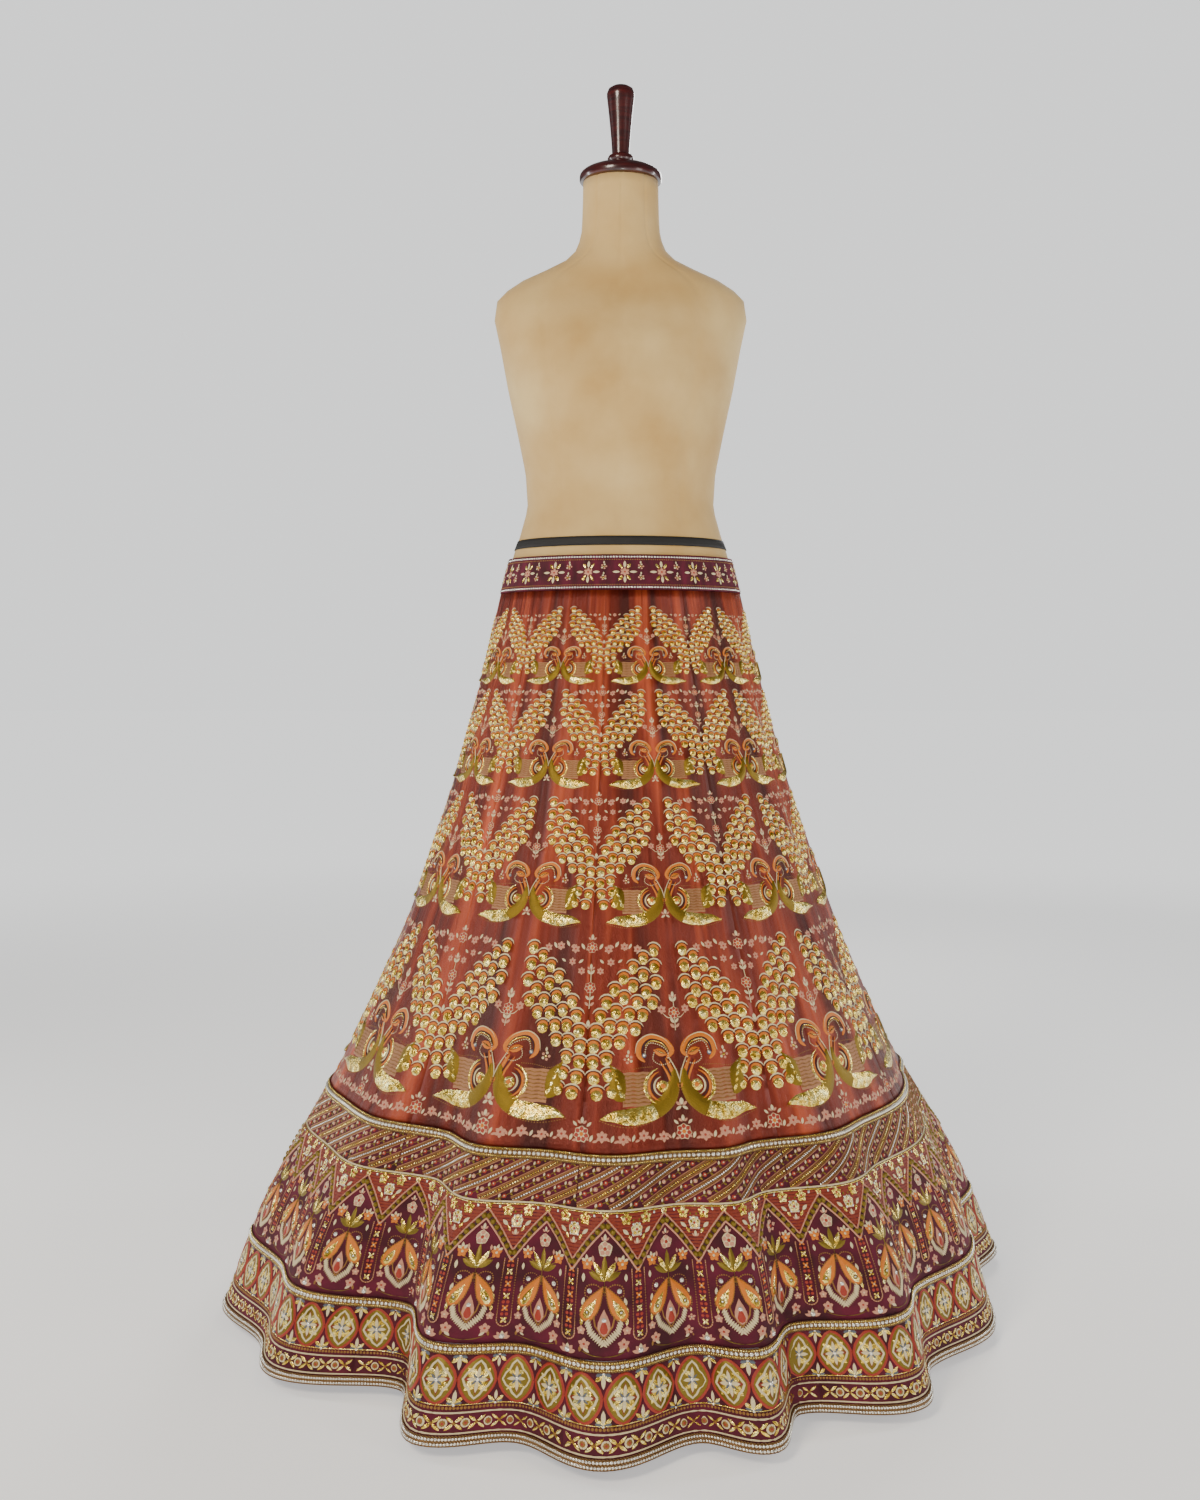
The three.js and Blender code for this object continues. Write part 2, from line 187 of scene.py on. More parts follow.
FOLDS = np.array([
    # angle, reach, top, lean
    (-177, 28, 520, 0.4),
    (-168, -46, 430, 0.2),
    (-156, 26, 560, -0.3),
    (-146, -24, 360, -0.3),
    (-133, 33, 600, 0.2),
    (-119, -52, 500, 0.5),
    (-105, 20, 420, 0.4),
    (-93, -22, 380, 0.1),
    (-79, 25, 560, 0),
    (-64, -10, 330, 0.3),
    (-54, 15, 420, 0.3),
    (-36.5, -80, 520, 0.3),
    (-24.8, 27, 600, 0.2),
    (-14, -18, 300, 0),
    (-3, 36, 620, 0.1),
    (9.5, -26, 380, -0.2),
    (17.2, 20, 440, -0.2),
    (25.5, -58, 470, -0.3),
    (40, 14, 560, -0.2),
    (52, -44, 430, -0.4),
    (69, -6, 520, -0.3),
    (88, -30, 400, -0.2),
    (103, 52, 600, 0),
    (116, -34, 440, 0.2),
    (127, 22, 520, 0.3),
    (141, -50, 480, 0.1),
    (155, 30, 580, -0.2),
    (169, -20, 360, -0.1),
], float)

# Soft creases in the kalis: angle, foot, head (heights), depth out of the cloth, half-width in degrees.
CREASES = np.array([
    (-171, 330, 760, 2.6, 3.2), (-160, 380, 900, -2.8, 3.6), (-149, 320, 640, 3.0, 3.0),
    (-138, 420, 980, -2.4, 3.4), (-127, 320, 720, 3.2, 3.2), (-113, 380, 860, -3.0, 3.8),
    (-101, 320, 600, 2.4, 2.8), (-88, 400, 940, -2.6, 3.4), (-72, 320, 700, 3.4, 3.4),
    (-58, 340, 820, -3.0, 3.2), (-49, 320, 620, 2.6, 2.6), (-39, 360, 960, -2.8, 3.2),
    (-30, 320, 740, 3.2, 2.6), (-19, 330, 860, -3.2, 2.8), (-10, 320, 600, 2.8, 2.4),
    (1, 340, 780, -3.0, 2.8), (9, 320, 640, 3.0, 2.4), (19, 360, 980, -3.2, 3.0),
    (30, 320, 700, 3.4, 2.8), (41, 330, 820, -2.6, 3.2), (55, 320, 640, 3.0, 3.0),
    (68, 380, 960, -3.2, 3.6), (81, 320, 720, 2.8, 3.2), (95, 340, 840, -2.6, 3.4),
    (109, 320, 620, 3.2, 3.0), (122, 400, 940, -3.0, 3.6), (134, 320, 700, 2.6, 3.0),
    (147, 360, 860, -2.8, 3.4), (160, 320, 640, 3.2, 3.0), (171, 340, 800, -2.6, 3.2),
], float)


def column_at(column, height):
    """A smooth value of one column of the cut at each height, through every row."""
    rows, values = CUT[:, 0], CUT[:, column]
    i = np.clip(np.searchsorted(rows, height) - 1, 0, len(rows) - 2)
    before, after = np.maximum(i - 1, 0), np.minimum(i + 2, len(rows) - 1)
    span = rows[i + 1] - rows[i]
    slope_a = (values[i + 1] - values[before]) / (rows[i + 1] - rows[before])
    slope_b = (values[after] - values[i]) / (rows[after] - rows[i])
    t = (height - rows[i]) / span
    return ((2 * t**3 - 3 * t**2 + 1) * values[i] + (t**3 - 2 * t**2 + t) * span * slope_a
            + (3 * t**2 - 2 * t**3) * values[i + 1] + (t**3 - t**2) * span * slope_b)


def fold_reach(angle, height):
    """How far the folds carry the cloth out of its plain cut, in mm."""
    reach = np.zeros_like(angle)
    first = FOLDS[0, 0] + FOLDS[0, 3] * height / 100
    turn = (angle - first) % 360 + first
    for i, (fold, out, top, lean) in enumerate(FOLDS):
        next_fold, next_out, next_top, next_lean = FOLDS[(i + 1) % len(FOLDS)]
        start = fold + lean * height / 100
        end = next_fold + next_lean * height / 100 + (360 if i == len(FOLDS) - 1 else 0)
        here = (turn >= start) & (turn < end)
        a = out * np.maximum(0, 1 - height / top) ** FOLD_FADE
        b = next_out * np.maximum(0, 1 - height / next_top) ** FOLD_FADE
        t = (turn - start) / (end - start)
        reach = np.where(here, a + (b - a) * (1 - np.cos(np.pi * t)) / 2, reach)
    return reach


def crease_reach(angle, height):
    """The soft creases of the satin between the deep folds, in mm."""
    reach = np.zeros_like(angle)
    for place, foot, head, depth, spread in CREASES:
        away = (angle - place + 180) % 360 - 180
        along = np.clip((height - foot) / (head - foot), 0, 1)
        reach += depth * np.exp(-(away / spread) ** 2) * np.sin(np.pi * along) ** 0.8
    return reach


def cloth(angle, height):
    """Points on the cloth's inside, in metres."""
    turn = np.radians(angle)
    depth = np.where(np.cos(turn) >= 0, column_at(2, height), column_at(3, height))
    reach = fold_reach(angle, height) + crease_reach(angle, height)
    return np.stack([
        AXIS_X + (column_at(1, height) + reach) * np.sin(turn) * MM,
        AXIS_Y - (depth + reach) * np.cos(turn) * MM,
        (height + HEM_CLEARANCE) * MM,
    ], axis=-1)


# Where along each kali a point of its cloth lies: lengths are measured round the folds, so that
# embroidery keeps its width on a fold's side. A place is kali number + fraction of that kali's width.
TABLE_HEIGHTS = np.arange(-6.0, 1091.0, 7.0)
TABLE_STEP = 0.25
TABLE_PLACES = np.linspace(0, KALIS, KALIS * 40 + 1)


def angle_table():
    steps = int(360 / TABLE_STEP)
    angles = FIRST_SEAM + TABLE_STEP * np.arange(steps + 1)
    per_kali = int(KALI_ANGLE / TABLE_STEP)
    rows = []
    for height in TABLE_HEIGHTS:
        points = cloth(angles, np.full_like(angles, height))
        lengths = np.concatenate([[0], np.cumsum(np.linalg.norm(np.diff(points, axis=0), axis=1))])
        marks = lengths[::per_kali]
        rows.append(np.interp(np.interp(TABLE_PLACES, np.arange(KALIS + 1), marks), lengths, angles))
    return np.array(rows)


ANGLES = angle_table()


def angle_at(place, height):
    """The angle of a place on the cloth at a height."""
    turns = np.floor(place / KALIS)
    p = (place - turns * KALIS) / TABLE_PLACES[1]
    h = np.clip((height - TABLE_HEIGHTS[0]) / (TABLE_HEIGHTS[1] - TABLE_HEIGHTS[0]), 0, len(TABLE_HEIGHTS) - 1.001)
    i, j = np.minimum(p.astype(int), len(TABLE_PLACES) - 2), h.astype(int)
    u, v = p - i, h - j
    low = ANGLES[j, i] * (1 - u) + ANGLES[j, i + 1] * u
    high = ANGLES[j + 1, i] * (1 - u) + ANGLES[j + 1, i + 1] * u
    return low * (1 - v) + high * v + 360 * turns


def lifted(place, height, lift):
    """Points on the cloth at places and heights, moved straight out by lift in mm."""
    angle = angle_at(place, height)
    step = 1.0
    across = cloth(angle + step, height) - cloth(angle - step, height)
    up = cloth(angle, height + step) - cloth(angle, height - step)
    out = np.cross(across, up)
    out /= np.linalg.norm(out, axis=-1, keepdims=True)
    return cloth(angle, height) + out * (lift * MM)[..., None]


def mesh_object(name, points, faces, materials, face_materials=None, smooth=True):
    """An object from points and faces, with its place in its mesh."""
    mesh = bpy.data.meshes.new(name)
    mesh.from_pydata(points.reshape(-1, 3).tolist(), [], faces)
    for material in materials:
        mesh.materials.append(material)
    if face_materials is not None:
        mesh.polygons.foreach_set("material_index", face_materials)
    mesh.polygons.foreach_set("use_smooth", np.full(len(faces), smooth))
    mesh.update()
    piece = bpy.data.objects.new(name, mesh)
    bpy.context.collection.objects.link(piece)
    return piece


def wall_faces(rows, stations, closed):
    """Faces of a closed wall whose two sides are grids of rows x stations points."""
    faces = []
    side = rows * stations
    spans = stations if closed else stations - 1

    def corner(outer, row, station):
        return outer * side + row * stations + station % stations

    for r in range(rows - 1):
        for s in range(spans):
            faces.append((corner(1, r, s), corner(1, r, s + 1), corner(1, r + 1, s + 1), corner(1, r + 1, s)))
            faces.append((corner(0, r, s), corner(0, r + 1, s), corner(0, r + 1, s + 1), corner(0, r, s + 1)))
        if not closed:
            e = stations - 1
            faces.append((corner(0, r, 0), corner(1, r, 0), corner(1, r + 1, 0), corner(0, r + 1, 0)))
            faces.append((corner(1, r, e), corner(0, r, e), corner(0, r + 1, e), corner(1, r + 1, e)))
    for s in range(spans):
        t = rows - 1
        faces.append((corner(0, 0, s), corner(0, 0, s + 1), corner(1, 0, s + 1), corner(1, 0, s)))
        faces.append((corner(1, t, s), corner(1, t, s + 1), corner(0, t, s + 1), corner(0, t, s)))
    return faces


def cloth_shell(name, places, heights, lift, thickness, material, closed=False):
    """A thin shell of cloth over places and heights, with a UV map in metres along the cloth."""
    grid_places, grid_heights = np.meshgrid(places, heights)
    sides = [lifted(grid_places, grid_heights, np.full_like(grid_places, lift + t)) for t in (0, thickness)]
    piece = mesh_object(name, np.stack(sides), wall_faces(len(heights), len(places), closed), [material])
    kali_width = 2 * math.pi * 0.45 / KALIS
    flat = np.stack([grid_places * kali_width, grid_heights * MM * 1.12], axis=-1).reshape(-1, 2)
    loops = np.empty(len(piece.data.loops), int)
    piece.data.loops.foreach_get("vertex_index", loops)
    uv = piece.data.uv_layers.new(name="along_cloth")
    uv.data.foreach_set("uv", flat[loops % len(flat)].ravel())
    return piece


def cloth_area(places, heights):
    """The area of cloth over places and heights, in square metres, and its width and length."""
    grid_places, grid_heights = np.meshgrid(places, heights)
    points = lifted(grid_places, grid_heights, np.zeros_like(grid_places))
    widths = np.linalg.norm(np.diff(points, axis=1), axis=2).sum(axis=1)
    lengths = np.linalg.norm(np.diff(points, axis=0), axis=2).sum(axis=0)
    area = float(((widths[1:] + widths[:-1]) / 2 * (lengths.mean() / (len(heights) - 1))).sum())
    return area, float(widths.max()), float(lengths.max())


# ---------------------------------------------------------------- kalis
# Ten flared gores of rust satin-backed velvet, each cut narrow at the waist and wide at the foot.
# The nap runs down the cloth. Soft upright streaks of painted highlight and painted shade in its colour stand for the
# light breaking on it, and are bumped a little too.

KALI_FOOT = 316
KALI_HEAD = 1020
CLOTH = 1.8
SEAM = 0.0002

rust_velvet, shader = new_material("rust_satin_velvet")
coordinates = add(rust_velvet, "ShaderNodeUVMap", {"uv_map": "along_cloth"})
stretch = add(rust_velvet, "ShaderNodeMapping", Vector=(coordinates, "UV"), Scale=(16, 1.5, 1))
painted_light_streaks = add(rust_velvet, "ShaderNodeTexNoise", Vector=(stretch, "Vector"), Scale=1.0, Detail=3.0, Roughness=0.5)
nap = add(rust_velvet, "ShaderNodeMapping", Vector=(coordinates, "UV"), Scale=(900, 260, 1))
pile = add(rust_velvet, "ShaderNodeTexNoise", Vector=(nap, "Vector"), Scale=1.0, Detail=2.0)
# Painted light: the streaks run the colour from painted shade (#440f07) through the rust to painted highlight
# (#b9502d).
colour = add(rust_velvet, "ShaderNodeValToRGB", Fac=(painted_light_streaks, "Fac"))
colour.color_ramp.elements[0].position = 0.36
colour.color_ramp.elements[0].color = linear("#440f07")
colour.color_ramp.elements[1].position = 0.68
colour.color_ramp.elements[1].color = linear("#b9502d")
middle = colour.color_ramp.elements.new(0.52)
middle.color = linear("#78240f")
rust_velvet.node_tree.links.new(colour.outputs["Color"], shader.inputs["Base Color"])
rough = add(rust_velvet, "ShaderNodeMapRange", Value=(pile, "Fac"), i3=0.30, i4=0.46)
rust_velvet.node_tree.links.new(rough.outputs["Result"], shader.inputs["Roughness"])
relief = add(rust_velvet, "ShaderNodeMath", {"operation": "MULTIPLY_ADD"}, i0=(painted_light_streaks, "Fac"), i1=22.0, i2=(pile, "Fac"))
bump = add(rust_velvet, "ShaderNodeBump", Strength=0.75, Distance=0.0014, Height=(relief, "Value"))
rust_velvet.node_tree.links.new(bump.outputs["Normal"], shader.inputs["Normal"])
fix(shader, Metallic=0.45, Sheen_Weight=0.08, Sheen_Roughness=0.4, Sheen_Tint=linear("#d8502c"))

kali_heights = np.concatenate([[KALI_FOOT + 0.3], np.linspace(324, KALI_HEAD - 0.2, 56)])
for kali in range(KALIS):
    kali_places = kali + np.concatenate([[SEAM], np.linspace(0, 1, 31)[1:-1], [1 - SEAM]])
    piece = cloth_shell(f"satin_kali_{kali + 1:02d}", kali_places, kali_heights, 0, CLOTH, rust_velvet)
    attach(piece, "root")
    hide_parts(f"kali_{kali + 1:02d}")

# ---------------------------------------------------------------- velvet bands
# Three rings of deep maroon cotton velvet below the kalis, each of ten lengths seamed end to end:
# the striped band, the panel of arches and the hem band. They take the light only at a low angle.

VELVET = 2.0
BAND_EDGES = {"stripe_band": (258, 316), "arch_panel": (110, 258), "hem_band": (0, 110)}

maroon_velvet, shader = new_material("maroon_cotton_velvet")
coordinates = add(maroon_velvet, "ShaderNodeUVMap", {"uv_map": "along_cloth"})
patches = add(maroon_velvet, "ShaderNodeTexNoise", Vector=(coordinates, "UV"), Scale=26.0, Detail=4.0)
pile = add(maroon_velvet, "ShaderNodeTexNoise", Vector=(coordinates, "UV"), Scale=620.0, Detail=2.0)
colour = add(maroon_velvet, "ShaderNodeValToRGB", Fac=(patches, "Fac"))
colour.color_ramp.elements[0].position = 0.35
colour.color_ramp.elements[0].color = linear("#3a0514")
colour.color_ramp.elements[1].position = 0.72
colour.color_ramp.elements[1].color = linear("#640c2c")
maroon_velvet.node_tree.links.new(colour.outputs["Color"], shader.inputs["Base Color"])
bump = add(maroon_velvet, "ShaderNodeBump", Strength=0.5, Distance=0.0008, Height=(pile, "Fac"))
maroon_velvet.node_tree.links.new(bump.outputs["Normal"], shader.inputs["Normal"])
fix(shader, Roughness=0.85, Sheen_Weight=0.35, Sheen_Roughness=0.35, Sheen_Tint=linear("#a0264c"))

bands = {}
for band, (foot, head) in BAND_EDGES.items():
    rows = max(4, int((head - foot) / 9))
    band_heights = np.linspace(foot + (0.3 if foot else 0), head, rows)
    for kali in range(KALIS):
        number = f"{kali + 1:02d}"
        band_places = kali + np.concatenate([[SEAM], np.linspace(0, 1, 31)[1:-1], [1 - SEAM]])
        piece = cloth_shell(f"velvet_{band}_{number}", band_places, band_heights, 0, VELVET, maroon_velvet)
        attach(piece, "root")
        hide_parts(f"{band}_{number}")
        bands[band, kali] = piece

# ---------------------------------------------------------------- threads, foil and stones
# The embroidery is worked in silk and metal thread over low padding, with gold foil discs, beads and stones.
# Each thread is one material; each shape is a low raised form that catches the light as padded stitches do.


def silk(name, hex_colour, roughness=0.5, metallic=0.0, strand=900.0, relief=0.5, dark=0.72):
    """A stitched thread: its colour darkens and lightens from strand to strand."""
    material, shader = new_material(name)
    place = add(material, "ShaderNodeTexCoord")
    strands = add(material, "ShaderNodeTexNoise", Vector=(place, "Object"), Scale=strand, Detail=2.0)
    shade = add(material, "ShaderNodeMix", {"data_type": "RGBA"}, Factor=(strands, "Fac"))
    full = linear(hex_colour)
    shade.inputs["A"].default_value = [c * dark * dark for c in full[:3]] + [1]
    shade.inputs["B"].default_value = [min(1, c * 1.25) for c in full[:3]] + [1]
    shade_out = [o for o in shade.outputs if o.type == "RGBA"][0]
    material.node_tree.links.new(shade_out, shader.inputs["Base Color"])
    bump = add(material, "ShaderNodeBump", Strength=relief, Distance=0.0008, Height=(strands, "Fac"))
    material.node_tree.links.new(bump.outputs["Normal"], shader.inputs["Normal"])
    fix(shader, Roughness=roughness, Metallic=metallic)
    return material


def beaten_foil(name, dark, middle, light):
    """Thin gold foil pressed over padding: small facets, with painted highlights and painted shade on them in its
    colour as well as in its bump.
    """
    material, shader = new_material(name)
    place = add(material, "ShaderNodeTexCoord")
    facets = add(material, "ShaderNodeTexNoise", Vector=(place, "Object"), Scale=130.0, Detail=3.0, Roughness=0.6)
    # Painted light: the facet noise runs the colour from painted shade through the gold to painted highlight.
    colour = add(material, "ShaderNodeValToRGB", Fac=(facets, "Fac"))
    colour.color_ramp.elements[0].position = 0.32
    colour.color_ramp.elements[0].color = linear(dark)
    colour.color_ramp.elements[1].position = 0.66
    colour.color_ramp.elements[1].color = linear(light)
    colour.color_ramp.elements.new(0.48).color = linear(middle)
    material.node_tree.links.new(colour.outputs["Color"], shader.inputs["Base Color"])
    bump = add(material, "ShaderNodeBump", Strength=0.8, Distance=0.003, Height=(facets, "Fac"))
    material.node_tree.links.new(bump.outputs["Normal"], shader.inputs["Normal"])
    fix(shader, Roughness=0.24, Metallic=0.85)
    return material


THREADS = {
    # The foil's three colours are painted shade, the gold itself and painted highlight.
    "foil": beaten_foil("gold_foil", "#a8841c", "#eccb58", "#fff3a4"),
    "old_gold": silk("old_gold_zari", "#8a7020", 0.36, 0.85, 900.0, 0.8),
    "zari": silk("brown_gold_zari", "#9a6f38", 0.42, 0.6, 800.0, 0.8),
    "amber": silk("amber_silk", "#e07a08", 0.5),
    "cream": silk("cream_silk", "#ead7a8", 0.5),
    "pink": silk("pink_silk", "#d49678", 0.5),
    "coral": silk("coral_silk", "#a8301a", 0.5),
    "maroon": silk("maroon_silk", "#3e060e", 0.6),
    "olive": silk("olive_gold_silk", "#857023", 0.4, 0.6),
    "slate": silk("slate_silk", "#5f6672", 0.55),
    "rust": silk("rust_orange_silk", "#8a2c10", 0.55, 0.1, 500.0, 0.9),
    "mesh": silk("pink_gold_mesh", "#b9835c", 0.38, 0.55, 1000.0, 1.0),
    "stone": silk("clear_stone", "#efe9dc", 0.12, 0.6, 300.0, 0.3, 0.9),
}
THREAD_NUMBERS = {name: number for number, name in enumerate(THREADS)}


class Needlework:
    """Embroidery laid flat: points are across, up and out of the cloth in mm, faces have a thread each."""

    def __init__(self):
        self.points = []
        self.faces = []
        self.threads = []

    def raised(self, outline, height, thread, shoulder=0.0, base=0.0):
        """A padded shape over an anticlockwise outline: a low dome, or a flatter one with a shoulder."""
        start, count = len(self.points), len(outline)
        middle_x = sum(x for x, y in outline) / count
        middle_y = sum(y for x, y in outline) / count
        self.points += [(x, y, base) for x, y in outline]
        if shoulder:
            self.points += [(middle_x + (x - middle_x) * shoulder, middle_y + (y - middle_y) * shoulder,
                             base + height * 0.85) for x, y in outline]
        self.points.append((middle_x, middle_y, base + height))
        top = start + (count if shoulder else 0)
        for i in range(count):
            j = (i + 1) % count
            if shoulder:
                self.faces.append((start + i, start + j, top + j, top + i))
            self.faces.append((top + i, top + j, top + count))
        self.threads += [THREAD_NUMBERS[thread]] * (count * (2 if shoulder else 1))

    def line(self, path, width, height, thread, base=0.0, taper=True):
        """A couched line along a path: its width is one number, tapered at the ends or not, or several along it."""
        start, count = len(self.points), len(path)
        for i, (x, y) in enumerate(path):
            ax, ay = path[max(i - 1, 0)]
            bx, by = path[min(i + 1, count - 1)]
            length = math.hypot(bx - ax, by - ay) or 1
            share = i / (count - 1)
            if isinstance(width, list):
                half = float(np.interp(share * (len(width) - 1), range(len(width)), width)) / 2
            else:
                half = width / 2 * (max(0.12, math.sin(math.pi * share) ** 0.6) if taper else 1)
            nx, ny = (ay - by) / length * half, (bx - ax) / length * half
            self.points += [(x + nx, y + ny, base), (x, y, base + height), (x - nx, y - ny, base)]
        for i in range(count - 1):
            a = start + 3 * i
            self.faces += [(a + 1, a, a + 3, a + 4), (a + 2, a + 1, a + 4, a + 5)]
        self.threads += [THREAD_NUMBERS[thread]] * (2 * (count - 1))

    def dot(self, x, y, radius, thread, height=None, sides=6, base=0.0):
        """A bead, stone or knot."""
        self.raised(circle(x, y, radius, sides), height or radius * 0.8, thread, 0.0 if radius < 2.4 else 0.6, base)

    def beads(self, path, radius, spacing, thread, base=0.0, sides=5):
        """Beads at even steps along a path."""
        for x, y in even_steps(path, spacing):
            self.dot(x, y, radius, thread, radius * 0.9, sides, base)

    def petal(self, x, y, turn, length, width, thread, height=1.0, base=0.0, sides=8):
        self.raised(leaf(x, y, turn, length, width, sides), height, thread, 0.0, base)

    def place(self, other, x, y, across=1.0, up=None, mirror=False, turn=0.0, lift=0.0, swap=None):
        """Adds a copy of another piece of work at a place, scaled, turned in degrees or mirrored."""
        start = len(self.points)
        up = across if up is None else up
        c, s = math.cos(math.radians(turn)), math.sin(math.radians(turn))
        side = -1 if mirror else 1
        for px, py, pz in other.points:
            px *= side
            self.points.append((x + (px * c - py * s) * across, y + (px * s + py * c) * up, pz + lift))
        for face in other.faces:
            self.faces.append(tuple(start + i for i in (reversed(face) if mirror else face)))
        swaps = {THREAD_NUMBERS[a]: THREAD_NUMBERS[b] for a, b in (swap or {}).items()}
        self.threads += [swaps.get(thread, thread) for thread in other.threads]


def circle(x, y, radius, sides=10):
    return [(x + radius * math.cos(2 * math.pi * i / sides), y + radius * math.sin(2 * math.pi * i / sides))
            for i in range(sides)]


def arc(x, y, radius, start, end, steps=8, flat=1.0):
    """Points along an arc, angles in degrees; flat squashes it upright."""
    turns = [math.radians(start + (end - start) * i / steps) for i in range(steps + 1)]
    return [(x + radius * math.cos(t), y + radius * flat * math.sin(t)) for t in turns]


def leaf(x, y, turn, length, width, sides=8):
    """A pointed oval from its foot at x, y towards turn degrees."""
    half = sides // 2
    shares = [i / half for i in range(half + 1)]
    right = [(length * t, -width / 2 * math.sin(math.pi * t) ** 0.8) for t in shares]
    left = [(length * t, width / 2 * math.sin(math.pi * t) ** 0.8) for t in reversed(shares[1:-1])]
    return turned(right + left, x, y, turn)


def drop(x, y, turn, length, width, sides=12):
    """A teardrop whose point is at x, y and whose round end lies towards turn degrees."""
    points = []
    for i in range(sides):
        t = 2 * math.pi * i / sides
        along = (1 - math.cos(t)) / 2
        points.append((length * along, -width / 2 * math.sin(t) * math.sin(t / 2) ** 1.2 * 1.3))
    return turned(points, x, y, turn)


def turned(points, x, y, turn):
    c, s = math.cos(math.radians(turn)), math.sin(math.radians(turn))
    return [(x + px * c - py * s, y + px * s + py * c) for px, py in points]


def curve(points, steps=4):
    """A smooth path through a few points."""
    path = []
    for i in range(len(points) - 1):
        p0, p1, p2 = points[max(i - 1, 0)], points[i], points[i + 1]
        p3 = points[min(i + 2, len(points) - 1)]
        for k in range(steps):
            t = k / steps
            path.append(tuple(
                0.5 * (2 * b + (c - a) * t + (2 * a - 5 * b + 4 * c - d) * t**2 + (3 * b - a - 3 * c + d) * t**3)
                for a, b, c, d in zip(p0, p1, p2, p3)))
    return path + [points[-1]]


def even_steps(path, spacing):
    """Points at even steps along a path."""
    lengths = [0.0]
    for (ax, ay), (bx, by) in zip(path, path[1:]):
        lengths.append(lengths[-1] + math.hypot(bx - ax, by - ay))
    count = max(1, round(lengths[-1] / spacing))
    marks = [(i + 0.5) * lengths[-1] / count for i in range(count)]
    xs, ys = zip(*path)
    return list(zip(np.interp(marks, lengths, xs).tolist(), np.interp(marks, lengths, ys).tolist()))


def blossom(radius, petals, petal_thread, heart_thread, rim_thread=None):
    """A round flower: petals round a raised heart, each with a rim stitched outside it."""
    work = Needlework()
    for i in range(petals):
        turn = 90 + 360 * i / petals
        width = (2.1 if rim_thread else 1.35) * radius * math.sin(math.pi / petals)
        if rim_thread:
            work.petal(0, 0, turn, radius, width, rim_thread, 0.7)
            work.petal(*turned([(radius * 0.25, 0)], 0, 0, turn)[0], turn, radius * 0.6, width * 0.55,
                       petal_thread, 0.7, 0.35, 6)
        else:
            work.petal(0, 0, turn, radius, width, petal_thread, 1.1, 0.0, 6)
    work.dot(0, 0, radius * 0.26, heart_thread, 1.7, 6)
    return work


# ---------------------------------------------------------------- peacocks
# Two peacocks face each other on every kali, in four tiers that shrink with the kali's width.
# Each has a foil crescent for its breast, a wing of rings and a tail of foil discs under silk crescents.

feather = Needlework()
feather.line(arc(0, -1.5, 11.4, 26, 154, 5), 2.6, 0.8, "cream")
feather.line(arc(0, -1.5, 9.6, 20, 160, 4), 1.6, 0.6, "maroon")
feather.line(arc(0, -1.6, 7.6, 14, 166, 5), 3.4, 1.2, "amber", 0.1)
feather.raised(circle(0, -2.2, 6.9, 9), 2.2, "foil", 0.62, 0.1)

# The tail's strands of discs run up from the rump and arch over towards the other bird: across, up.
TAIL_STRANDS = [
    [(94, 30), (101, 58), (103, 94), (97, 128), (84, 157), (63, 183), (38, 205), (13, 221)],
    [(76, 33), (85, 70), (87, 101), (80, 130), (66, 154), (47, 176), (28, 191), (13, 200)],
    [(71, 92), (69, 113), (58, 135), (43, 154), (26, 170), (13, 179)],
    [(54, 107), (47, 125), (34, 142), (20, 156)],
]
FEATHER_GAP = 19.4

peacock = Needlework()
for strand in TAIL_STRANDS:
    for x, y in even_steps(curve(strand, 5), FEATHER_GAP):
        peacock.place(feather, x, y, 1.0, 1.0, turn=(70 - x) * 0.20)

crescent = curve([(6, 66), (7, 50), (13, 33), (26, 20), (43, 13.5), (60, 11.5), (76, 12.5), (91, 9)])
crescent_widths = np.interp(np.linspace(0, 7, len(crescent)), range(8), [5, 13, 18, 21, 22, 21, 14, 1]).tolist()
joint = len(crescent) // 2 - 1
peacock.line(crescent[:joint + 1], crescent_widths[:joint + 1], 3.2, "old_gold", 0.05)
peacock.line(crescent[joint:], crescent_widths[joint:], 3.4, "foil")
rim = curve([(3, 68), (0, 50), (5, 32), (18, 14), (38, 3), (58, -0.5), (76, 2), (93, 8)])
peacock.beads(rim, 1.0, 3.2, "zari")
for row in range(9):
    y = 25 + 4.6 * row
    peacock.line([(35, y), (43, y + 0.8), (51, y), (59, y + 0.8), (67, y)], 5.1, 0.6 + 0.25 * (row % 2), "mesh", taper=False)
    if row < 8:
        peacock.line([(37, y + 2), (43, y + 4), (49, y + 2), (55, y + 4), (61, y + 2), (66, y + 4)], 1.3, 0.5, "zari", 0.6, False)
peacock.beads(curve([(30, 70), (48, 69), (66, 66), (80, 73)]), 0.9, 2.8, "zari")
rump = [(64, 28), (74, 30), (84, 38), (83, 52), (80, 64), (84, 76), (72, 68), (64, 62), (62, 46)]
peacock.raised(rump, 2.2, "old_gold", 0.7)
for k in range(4):
    peacock.petal(65 + 2.5 * k, 33 + 8 * k, 55, 13, 6, "foil", 1.3, 1.6, 6)
for radius, width, thread in ((23, 4.6, "foil"), (18.6, 3.2, "amber"), (15.2, 2.6, "maroon"), (12.2, 2.4, "cream")):
    peacock.line(arc(18, 46, radius, -72, 72, 9), width, 1.3, thread, 0.3)
peacock.dot(20, 46, 7.5, "foil", 1.6, 10)
peacock.dot(20, 46, 3.4, "amber", 1.0, 8, 1.2)

